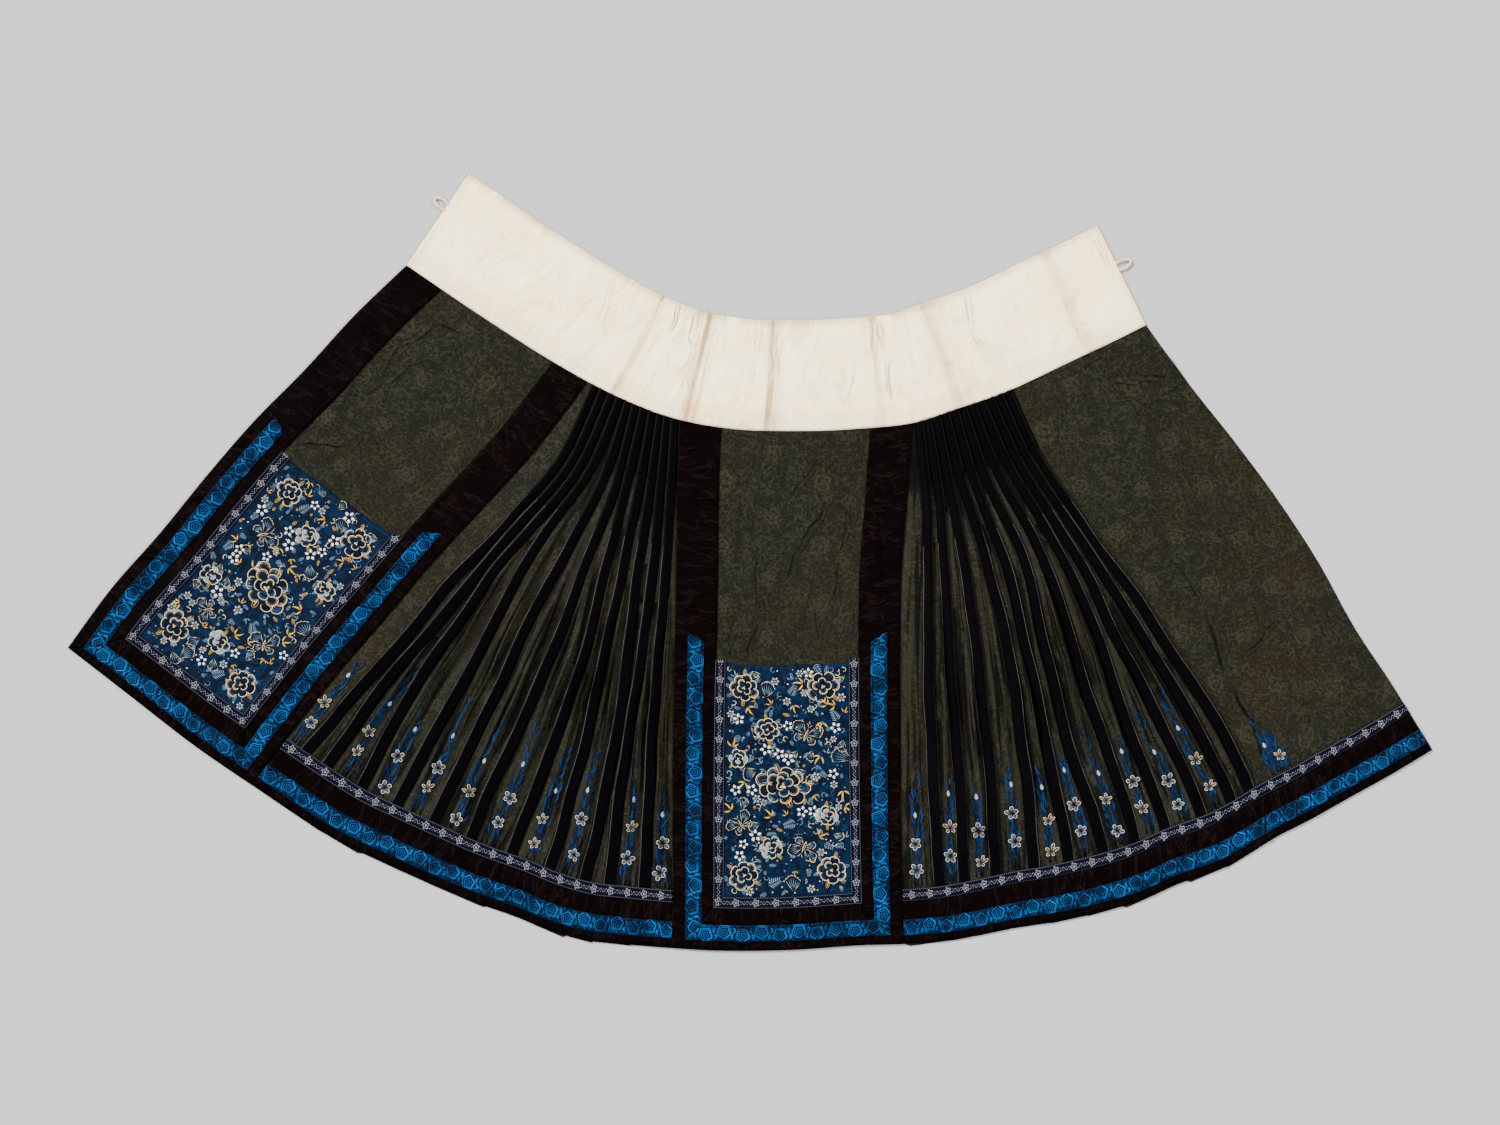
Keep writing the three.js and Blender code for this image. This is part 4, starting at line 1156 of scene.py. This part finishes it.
# Embroidered fields: the lower part of both decorated panels is filled with flowers, butterflies and
# leaves in satin stitch, blue on blue, each outlined with a couched cream cord.
field_look = Look("embroidery_ground", Roughness=0.6, Specular_IOR_Level=0.03)
field_uv = field_look.uv()
leafage = field_look.node("ShaderNodeTexVoronoi", {"feature": "F1"},
                          {"Vector": field_look.scaled(field_uv, (1, 0.7, 1), 0.5), "Scale": 120.0})
patches = field_look.clouds(field_uv, 70.0, detail=3, distortion=0.8)
stitches = field_look.threads(field_look.scaled(field_uv, (1, 1, 1), 0.4), 330, "X")
field_blue = field_look.mix(leafage, (0.0003, 0.0034, 0.0130), (0.0002, 0.0006, 0.0030))
light_patches = field_look.band(patches, 0.55, 1.0, 0.05)
field_blue = field_look.mix(light_patches, field_blue, (0.0004, 0.0062, 0.0205))
field_look.finish(Base_Color=field_look.mix(stitches * 0.3, field_blue, (0.0018, 0.0090, 0.0250)),
                  Normal=field_look.bump(stitches * 0.5 + leafage * -1.2, 0.0005, 0.7))

silk = Look("satin_stitch_silk", Roughness=0.5, Specular_IOR_Level=0.05)
silk_colour = silk.node("ShaderNodeVertexColor", {"layer_name": "silk"})
silk_uv = silk.uv()
silk_thread = silk.threads(silk_uv, 900, "Y")
silk_tone = silk.clouds(silk.places(), 240.0, detail=2)
silk.finish(Base_Color=silk.mix(silk_tone * 0.5, silk_colour,
                                silk.mix(1.0, silk_colour, (0.62, 0.62, 0.66), "MULTIPLY")),
            Roughness=0.42 + 0.2 * silk_tone, Normal=silk.bump(silk_thread, 0.0002, 0.6))

CREAM = (0.62, 0.50, 0.29)
WHITE = (0.58, 0.58, 0.56)
PALE = (0.22, 0.25, 0.27)
ICE = (0.120, 0.185, 0.240)
SKY = (0.007, 0.028, 0.070)
MID_BLUE = (0.0014, 0.0085, 0.0280)
DEEP_BLUE = (0.0006, 0.0018, 0.0065)
GOLD = (0.46, 0.26, 0.035)


class Stitching:
    """Raised stitches in one piece. `ground(x, y)` is the height of the cloth in mm."""

    def __init__(self, ground):
        self.ground = ground
        self.mesh = bmesh.new()
        self.weave = self.mesh.loops.layers.uv.new("weave")
        self.colour = self.mesh.loops.layers.float_color.new("silk")

    def run(self, line, widths, rise, colour, above, sides=6):
        """A closed padded stitch along a line, as wide as widths(u) each way and rise high"""
        last = len(line) - 1
        verts = bmesh.ops.create_grid(self.mesh, x_segments=last, y_segments=sides, size=0.5)["verts"]
        normals = []
        for k in range(last + 1):
            tangent = (line[min(k + 1, last)] - line[max(k - 1, 0)]).normalized()
            normals.append(left_of(tangent))
        length = sum((b - a).length for a, b in zip(line, line[1:]))
        cut = {}
        for vert in verts:
            u, v = vert.co.x + 0.5, vert.co.y + 0.5
            k = round(u * last)
            inside = 0 < k < last
            wide = widths(u) if callable(widths) else widths * inside
            turn = 2 * math.pi * v
            place = line[k] + normals[k] * (wide * math.cos(turn))
            high = rise * (max(math.sin(turn), -0.12) + 0.12) * inside
            cut[vert] = (u * length, math.cos(turn) * wide)
            vert.co = Vector((place.x, place.y, self.ground(place.x, place.y) + above + high)) * 0.001
        for face in {face for vert in verts for face in vert.link_faces}:
            face.smooth = True
            for loop in face.loops:
                loop[self.weave].uv = Vector(cut[loop.vert]) * 0.001
                loop[self.colour] = (*colour, 1)

    def leaf(self, base, tip, wide, colour, above, bend=0.0, rise=0.5, steps=5):
        side = left_of(tip - base) * bend
        line = [base.lerp(tip, k / steps) + side * math.sin(math.pi * k / steps)
                for k in range(steps + 1)]
        self.run(line, lambda u: wide * math.sin(math.pi * min(u, 1) ** 0.8), rise, colour, above)

    def cord(self, line, colour, wide, above):
        self.run(line, wide, 0.75, colour, above, sides=4)

    def scallop(self, base, tip, wide, colour, above, outline=CREAM, cord=0.6, inner=None):
        """One petal: a padded fan of satin stitch, dark at its heart, with a cord round its edge"""
        along = tip - base
        side = left_of(along).normalized()
        line = [base.lerp(tip, k / 5) for k in range(6)]
        if colour:
            self.run(line, lambda u: wide * math.sin(math.pi * (0.06 + 0.90 * u ** 1.15)), 0.6, colour,
                     above)
        if colour and wide > 3:
            heart = [base.lerp(tip, 0.12 + 0.66 * k / 4) for k in range(5)]
            self.run(heart, lambda u: 0.74 * wide * math.sin(math.pi * (0.05 + 0.88 * u)), 0.55,
                     DEEP_BLUE if colour != PALE else ICE, above + 0.3)
        for size, tone, thick in ((1.0, outline, cord), (0.74, inner, cord * 0.55)):
            if tone:
                rim = []
                for k in range(10):
                    turn = math.pi * (-0.70 + 1.40 * k / 9)
                    rim.append(base.lerp(tip, 0.55) + along * 0.48 * size * math.cos(turn)
                               + side * wide * 1.02 * size * math.sin(turn))
                self.cord(rim, tone, thick, above + 0.45)

    def peony(self, middle, radius, turn, colours, squash, chance):
        rings = ((9, 1.0, 0.46, 0.27, 0.1), (6, 0.66, 0.42, 0.24, 0.7), (3, 0.36, 0.34, 0.17, 1.3))
        if radius < 26:
            rings = ((7, 1.0, 0.50, 0.34, 0.1), (4, 0.56, 0.44, 0.24, 0.7))
        if radius < 17:
            rings = ((6, 1.0, 0.54, 0.38, 0.1), (3, 0.52, 0.42, 0.24, 0.7))
        lean = toward(turn)
        across = left_of(lean)
        for petals, reach, length, wide, above in rings:
            start = chance.random()
            for k in range(petals):
                angle = 2 * math.pi * (k + start + chance.uniform(-0.13, 0.13)) / petals
                out = (across * math.cos(angle) + lean * math.sin(angle) * squash) * radius
                out *= chance.uniform(0.92, 1.08)
                inner = middle + lean * radius * 0.14 * (1 - reach)
                self.scallop(inner + out * (reach - length), inner + out * reach,
                             radius * wide * chance.uniform(0.9, 1.1) * (0.5 + 0.5 * squash),
                             colours[(k + petals) % len(colours)], above, CREAM, 0.58,
                             GOLD if radius > 20 and k % 3 == 0 else None)
        for k in range(3):
            angle = turn + 2.1 * k
            self.leaf(middle, middle + toward(angle) * radius * 0.14, radius * 0.045,
                      CREAM if k else GOLD, 1.9)

    def blossom(self, middle, radius, turn, colour, eye, petals=5):
        for k in range(petals):
            angle = turn + 2 * math.pi * k / petals
            out = toward(angle) * radius
            self.leaf(middle + out * 0.30, middle + out, radius * 0.27, colour, 0.35, rise=0.6, steps=4)
        self.leaf(middle - Vector((radius * 0.2, 0)), middle + Vector((radius * 0.2, 0)), radius * 0.18,
                  eye, 0.8, steps=3)

    def fan(self, root, turn, spread, reach, lines):
        """Fine lines out from one root, with a scalloped cord along their ends"""
        ends = []
        for k in range(lines):
            share = k / (lines - 1)
            out = toward(turn + spread * (share - 0.5))
            ends.append(root + out * reach * (1 - 0.42 * abs(share - 0.62)))
            self.leaf(root.lerp(ends[-1], 0.22), root.lerp(ends[-1], 0.93), 0.38, ICE, 0.5,
                      rise=0.4, steps=3)
        for first, second in zip(ends, ends[1:]):
            middle = (first + second) / 2
            out = (middle - root).normalized() * (second - first).length * 0.42
            self.cord([first, first.lerp(middle, 0.4) + out * 0.8, middle + out,
                       second.lerp(middle, 0.4) + out * 0.8, second], CREAM, 0.42, 0.7)
        for end in (ends[0], ends[-1]):
            self.cord([root, root.lerp(end, 0.5), end], CREAM, 0.36, 0.6)

    def butterfly(self, middle, size, turn):
        wings = ((0.95, 1.0, 0.95), (-0.95, 1.0, 0.95), (2.1, 0.66, 0.9), (-2.1, 0.66, 0.9))
        for angle, reach, spread in wings:
            out = toward(turn + angle) * size
            self.scallop(middle + out * 0.1, middle + out * 0.8 * reach, size * 0.25 * reach,
                         MID_BLUE, 0.1, None)
            self.fan(middle + out * 0.08, turn + angle, spread, size * reach, 6)
        head = toward(turn) * size * 0.42
        side = left_of(head)
        self.leaf(middle - head, middle + head, size * 0.08, CREAM, 1.2)
        self.leaf(middle - head * 0.8, middle + head * 0.8, size * 0.045, DEEP_BLUE, 1.7)
        for way in (-1, 1):
            self.cord([middle + head, middle + head * 1.5 + side * 0.2 * way,
                       middle + head * 1.8 + side * 0.5 * way], CREAM, 0.35, 0.8)

    def feather(self, base, tip, pairs=6):
        """A pale leaf of separate stitches on both sides of its rib"""
        along = tip - base
        side = left_of(along)
        self.cord([base, base.lerp(tip, 0.5) + side * 0.05, tip], ICE, 0.4, 0.5)
        for k in range(pairs):
            start = base.lerp(tip, 0.10 + 0.78 * k / pairs)
            reach = 0.36 * (1 - 0.6 * k / pairs)
            for way in (-1, 1):
                self.leaf(start, start + along * reach * 0.7 + side * reach * way, along.length * 0.032,
                          ICE, 0.4, steps=3)

    def veined_leaf(self, base, tip, wide, colour, vein):
        self.leaf(base, tip, wide, colour, 0.1, steps=5)
        self.leaf(base, base.lerp(tip, 0.92), wide * 0.22, vein, 0.5, steps=4)
        side = left_of(tip - base).normalized() * wide
        for way in (-1, 1):
            self.cord([base, base.lerp(tip, 0.25) + side * 0.75 * way, base.lerp(tip, 0.5) + side * way,
                       base.lerp(tip, 0.8) + side * 0.6 * way, tip], vein, 0.32, 0.4)

    def curl(self, middle, size, turn, way, colour):
        line = []
        for k in range(9):
            angle = turn + way * 0.62 * k
            line.append(middle + toward(angle) * size * (1 - 0.085 * k))
        self.run(line, lambda u: 0.5 * (1.25 - u), 0.5, colour, 0.3, sides=4)

    def spray(self, base, turn, size, colour=GOLD):
        for angle in (-0.95, -0.05, 0.85):
            out = toward(turn + angle) * size * (1 - 0.3 * abs(angle))
            self.leaf(base, base + out, size * 0.085, colour, 0.6, bend=0.12 * (1 if angle > 0 else -1),
                      steps=4)

    def piece(self, name):
        bmesh.ops.remove_doubles(self.mesh, verts=self.mesh.verts, dist=1e-7)
        bmesh.ops.recalc_face_normals(self.mesh, faces=self.mesh.faces)
        stitch_data = bpy.data.meshes.new(name)
        self.mesh.to_mesh(stitch_data)
        self.mesh.free()
        lay(name, stitch_data, silk.material, "embroidery")


SPOT_TRIES = 45
# The stitched part of a field, and the ground that it is worked on, from the panel's edges
FIELD_TOP = 352
FIELD_SIDE = 78.2
FIELD_LOW = 80.5
FIELD_EDGE = 64.2
FIELD_FOOT = 73.2
# Main motifs of a field, by kind: share across, share down, size in mm, and turn
CENTRE_FIELD = {
    "peony": ((0.47, 0.52, 40, 1.5), (0.14, 0.09, 22, 1.1), (0.80, 0.09, 25, 2.0), (0.15, 0.91, 23, 2.2),
              (0.86, 0.90, 22, 0.9), (0.34, 0.27, 19, 1.3), (0.37, 0.79, 18, 1.9), (0.83, 0.66, 17, 1.2),
              (0.10, 0.40, 15, 0.4)),
    "butterfly": ((0.66, 0.30, 24, 1.2), (0.13, 0.69, 21, 2.2), (0.64, 0.79, 23, 4.3)),
    "fan": ((0.96, 0.40, 30, 2.7), (0.34, 0.10, 24, 1.3), (0.20, 0.46, 23, 3.6), (0.55, 0.95, 25, 1.6)),
    "feather": ((0.55, 0.10, 22, 1.1), (0.40, 0.94, 26, 0.4), (0.90, 0.22, 22, 2.2), (0.52, 0.69, 24, 3.4)),
}
LEFT_FIELD = {
    "peony": ((0.52, 0.50, 41, 1.2), (0.16, 0.10, 21, 0.9), (0.84, 0.11, 24, 1.5), (0.15, 0.88, 24, 0.7),
              (0.85, 0.91, 22, 2.5), (0.50, 0.21, 18, 1.9), (0.50, 0.82, 18, 1.2), (0.10, 0.60, 16, 1.6),
              (0.90, 0.36, 16, 1.5)),
    "butterfly": ((0.22, 0.32, 24, 0.9), (0.80, 0.71, 23, 2.0), (0.27, 0.73, 20, 3.9)),
    "fan": ((0.98, 0.55, 28, 2.9), (0.66, 0.09, 24, 1.9), (0.70, 0.33, 22, 5.4), (0.36, 0.94, 25, 1.3)),
    "feather": ((0.34, 0.12, 22, 1.2), (0.66, 0.93, 24, 0.9), (0.06, 0.45, 22, 4.4), (0.64, 0.68, 22, 2.4)),
}


def embroidered_field(name, plan, base, motifs, seed):
    """One field: its ground, the main motifs in their places, and small ones that fill what is free"""
    first = base + LAYER_STEP + TRIM
    top, low = FIELD_TOP / SKIRT_LENGTH, 1 - FIELD_LOW / SKIRT_LENGTH

    def ground(u, v):
        down = lerp(top, 1 - FIELD_FOOT / SKIRT_LENGTH, v)
        side = FIELD_EDGE / plan.width(down)
        place = plan.at(lerp(side, 1 - side, u), down)
        return (place.x, place.y, first + lift(place.x, place.y)), (u * 220, v * 360)

    cloth_piece, area = cloth(f"{name}_embroidered_ground", [(36, 56, ground)], field_look.material,
                              f"{name}_embroidery", "embroidery")
    min(area, 0.0846)
    height = keep(lambda x, y: first + lift(x, y) + 0.02)
    stitching = Stitching(lambda x, y: height(round(x), round(y)))
    chance = random.Random(seed)
    taken = []

    def inner(u, v):
        down = lerp(top + 0.004, low - 0.004, v)
        side = (FIELD_SIDE + 1.5) / plan.width(down)
        return plan.at(lerp(side, 1 - side, u), down)

    tilt = plan.at(0.5, low) - plan.at(0.5, top)
    lean = math.atan2(tilt.y, tilt.x) + math.pi / 2
    for kind, (across, down, size, turn) in ((kind, row) for kind in motifs for row in motifs[kind]):
        middle = inner(across, down)
        turn += lean
        if kind == "peony":
            blues = (MID_BLUE, SKY, DEEP_BLUE) if size > 18 else (SKY, PALE, MID_BLUE)
            squash = 0.68 if size > 30 else 0.84
            for k in range(6):
                out = toward(turn + 0.4 + 1.05 * k) * (squash if size > 30 else 1)
                stitching.veined_leaf(middle + out * size * 0.72, middle + out * size * 1.34, size * 0.11,
                                      MID_BLUE if k % 2 else SKY, GOLD if k % 3 == 0 else ICE)
            stitching.peony(middle, size, turn, blues, squash, chance)
            taken.append((middle, size * 0.82))
        elif kind == "butterfly":
            stitching.butterfly(middle, size, turn)
            taken.append((middle, size * 0.72))
        elif kind == "fan":
            out = toward(turn) * size
            stitching.fan(middle - out * 0.5, turn, 1.15, size, 7)
            taken.append((middle, size * 0.42))
        else:
            out = toward(turn) * size
            stitching.feather(middle - out * 0.5, middle + out * 0.5)
            taken.append((middle, size * 0.4))

    def free_spot(clear):
        for _ in range(SPOT_TRIES):
            u, v = chance.random(), chance.random()
            middle = inner(lerp(0.02, 0.98, u), lerp(0.01, 0.99, v))
            if all((middle - other).length > clear + reach for other, reach in taken):
                return middle
        return None

    def any_way(size):
        turn = chance.random() * 6.3
        return toward(turn) * size

    def any_turn():
        return chance.random() * 6

    def ends(m, s):
        return m - any_way(s * 0.5), m + any_way(s * 0.5)

    pick = chance.choice
    for count, size, clear, make in (
        (15, 9.0, 7.4, lambda m, s: stitching.blossom(m, s, any_turn(), WHITE, DEEP_BLUE)),
        (14, 15.0, 5.6, lambda m, s: stitching.spray(m - any_way(5), any_turn(), s)),
        (12, 22.0, 7.0, lambda m, s: stitching.fan(m, any_turn(), 1.1, s * 0.8, 5)),
        (14, 18.0, 6.0, lambda m, s: stitching.feather(*ends(m, s), 5)),
        (16, 6.6, 5.0, lambda m, s: stitching.blossom(m, s, any_turn(), PALE, GOLD, 6)),
        (32, 9.5, 3.8, lambda m, s: stitching.spray(m, any_turn(), s, pick((GOLD, ICE, SKY)))),
        (70, 12.0, 3.4, lambda m, s: stitching.veined_leaf(*ends(m, s), s * 0.16, pick((SKY, MID_BLUE)),
                                                           pick((ICE, ICE, GOLD)))),
        (90, 5.0, 2.6, lambda m, s: stitching.curl(m, s, any_turn(), pick((-1, 1)),
                                                   pick((ICE, SKY, SKY, CREAM)))),
        (150, 3.2, 1.7, lambda m, s: stitching.leaf(*ends(m, s), s * 0.36,
                                                    pick((WHITE, ICE, ICE, GOLD, CREAM)), 0.2, steps=3)),
    ):
        for _ in range(count):
            middle = free_spot(clear)
            if middle is not None:
                make(middle, size * lerp(0.85, 1.15, chance.random()))
                taken.append((middle, clear))
    stitching.piece(f"{name}_stitches")


embroidered_field("left", left_plan, 0, LEFT_FIELD, 5)
embroidered_field("centre", centre_plan, LAYER_STEP, CENTRE_FIELD, 11)

# Sprigs on the gores: grassy stems and leaves in blue silk rise from the hem, each with two pale
# flowers and a bud, worked on every gore before the pleats were laid, and one on the plain panel.
LEAF_BLUE = (0.0026, 0.0160, 0.0500)
STEM_BLUE = (0.0012, 0.0065, 0.0240)
PETAL = (0.062, 0.053, 0.044)
SPRIG_FOOT = 0.886
# Turn and share of the size of each petal
LILY_PETALS = ((1.57, 1.15), (0.6, 1.05), (2.6, 1.05), (-0.6, 0.65), (-2.4, 0.65))


def lie_on(piece):
    """The height of a piece's upper face, in mm"""
    bpy.context.view_layer.update()
    tree = BVHTree.FromObject(piece, bpy.context.evaluated_depsgraph_get())

    def height(x, y):
        hit = tree.ray_cast(Vector((x * 0.001, y * 0.001, 0.1)), Vector((0, 0, -1)))[0]
        return hit.z * 1000 + 0.05 if hit else CLOTH

    return height


def sprig(stitching, place, wide, chance, top, flowers):
    """Three leafy stems with flowers. place(side, down) is a point side mm from the gore's middle"""
    reach = min(wide * 0.36, 11)
    for stem in range(3):
        sway, start = chance.uniform(1, 2.6), chance.random() * 6
        offset = (stem - 1) * reach * 0.55
        height = top + (0.0, 0.055, 0.09)[(stem + chance.randrange(3)) % 3]
        line = []
        for k in range(15):
            share = k / 14
            side = offset * (1 - 0.7 * share) + sway * math.sin(start + 7 * share)
            line.append(place(side, lerp(SPRIG_FOOT, height, share)))
        stitching.run(line, lambda u: 1.0 * (1.15 - u), 0.5, STEM_BLUE, 0.5, sides=4)
        for k in range(1, 14):
            if chance.random() < 0.15:
                continue
            way = chance.choice((-1, 1))
            run = line[k + 1] - line[k]
            side = left_of(run).normalized() * way
            tip = line[k] + run.normalized() * chance.uniform(11, 24)
            tip += side * chance.uniform(1.5, reach * 0.6)
            half_width = chance.uniform(0.9, 2.1)
            blue = chance.choice((LEAF_BLUE, LEAF_BLUE, STEM_BLUE))
            stitching.leaf(line[k], tip, half_width, blue, 0.55, bend=0.12 * way, steps=7)
    for down, kind in flowers:
        middle = place(chance.uniform(-0.25, 0.25) * reach, down + chance.uniform(-0.008, 0.008))
        turn = chance.random() * 6
        size = chance.uniform(9.2, 11.4)
        if kind == "flower":
            for k in range(5):
                angle = turn + 2 * math.pi * (k + chance.uniform(-0.1, 0.1)) / 5
                out = toward(angle) * size * chance.uniform(0.82, 1.1)
                stitching.leaf(middle + out * 0.22, middle + out * 0.95, size * 0.24, PETAL, 0.8, steps=5)
                stitching.scallop(middle + out * 0.22, middle + out, size * 0.26, None, 0.9, WHITE, 0.40)
            eye = Vector((1.9, 0))
            stitching.leaf(middle - eye, middle + eye, 1.7, DEEP_BLUE, 1.6, steps=3)
        elif kind == "lily":
            for angle, share in LILY_PETALS:
                out = Vector((math.cos(angle + 0.3 * math.sin(turn)), math.sin(angle))) * size * share
                stitching.leaf(middle + out * 0.12, middle + out * 0.95, size * 0.17, PETAL, 0.8, steps=5)
                stitching.scallop(middle + out * 0.12, middle + out, size * 0.19, None, 0.9, CREAM, 0.42)
        else:
            way = place(0, down - 0.01) - place(0, down + 0.01)
            stitching.leaf(middle - way * 0.32, middle + way * 0.32, 2.8, PALE, 0.9)


def gore_sprigs(name, pleats, piece, seed):
    """A sprig on the gore beside each fold, where it is wide enough"""
    stitching = Stitching(lie_on(piece))
    chance = random.Random(seed)
    kinds = ("flower", "lily", "flower", "flower", "lily")
    for k in range(-1, len(pleats.folds)):
        def span(down, k=k):
            width = pleats.plan.width(down)
            shares = [abs(pleats.mirrored - fold_share(fold, down)) * width for fold in pleats.folds]
            low = shares[k] + 19 if k >= 0 else 2
            high = (shares[k + 1] if k + 1 < len(shares) else width) - 3
            return low, high, width

        low, high, _ = span(0.8)
        if high - low < 12:
            continue

        def place(side, down):
            low, high, width = span(down)
            across = (low + high) / 2 + max(min(side, (high - low) / 2), (low - high) / 2)
            return pleats.plan.at(abs(pleats.mirrored - across / width), down)

        first = kinds[(k + seed) % 5], kinds[(k + seed + 2) % 5]
        shift = 0.018 * (k % 2)
        sprig(stitching, place, high - low, chance, 0.655 - shift,
              ((0.862 - shift, first[0]), (0.805 - shift, first[1]), (0.745 - shift, "bud")))
    stitching.piece(name)


gore_sprigs("gore_sprigs_left", left_pleats, left_pleated, 3)
gore_sprigs("gore_sprigs_right", right_pleats, right_pleated, 8)
panel_sprig = Stitching(lie_on(plain))
for middle, seed, top, flower in ((0.125, 4, 0.775, (0.835, "bud")), (0.185, 9, 0.82, (0.862, "lily"))):
    sprig(panel_sprig, lambda side, down: plain_plan.at(middle + side / 230, down), 34,
          random.Random(seed), top, (flower,))
panel_sprig.piece("plain_panel_sprig")
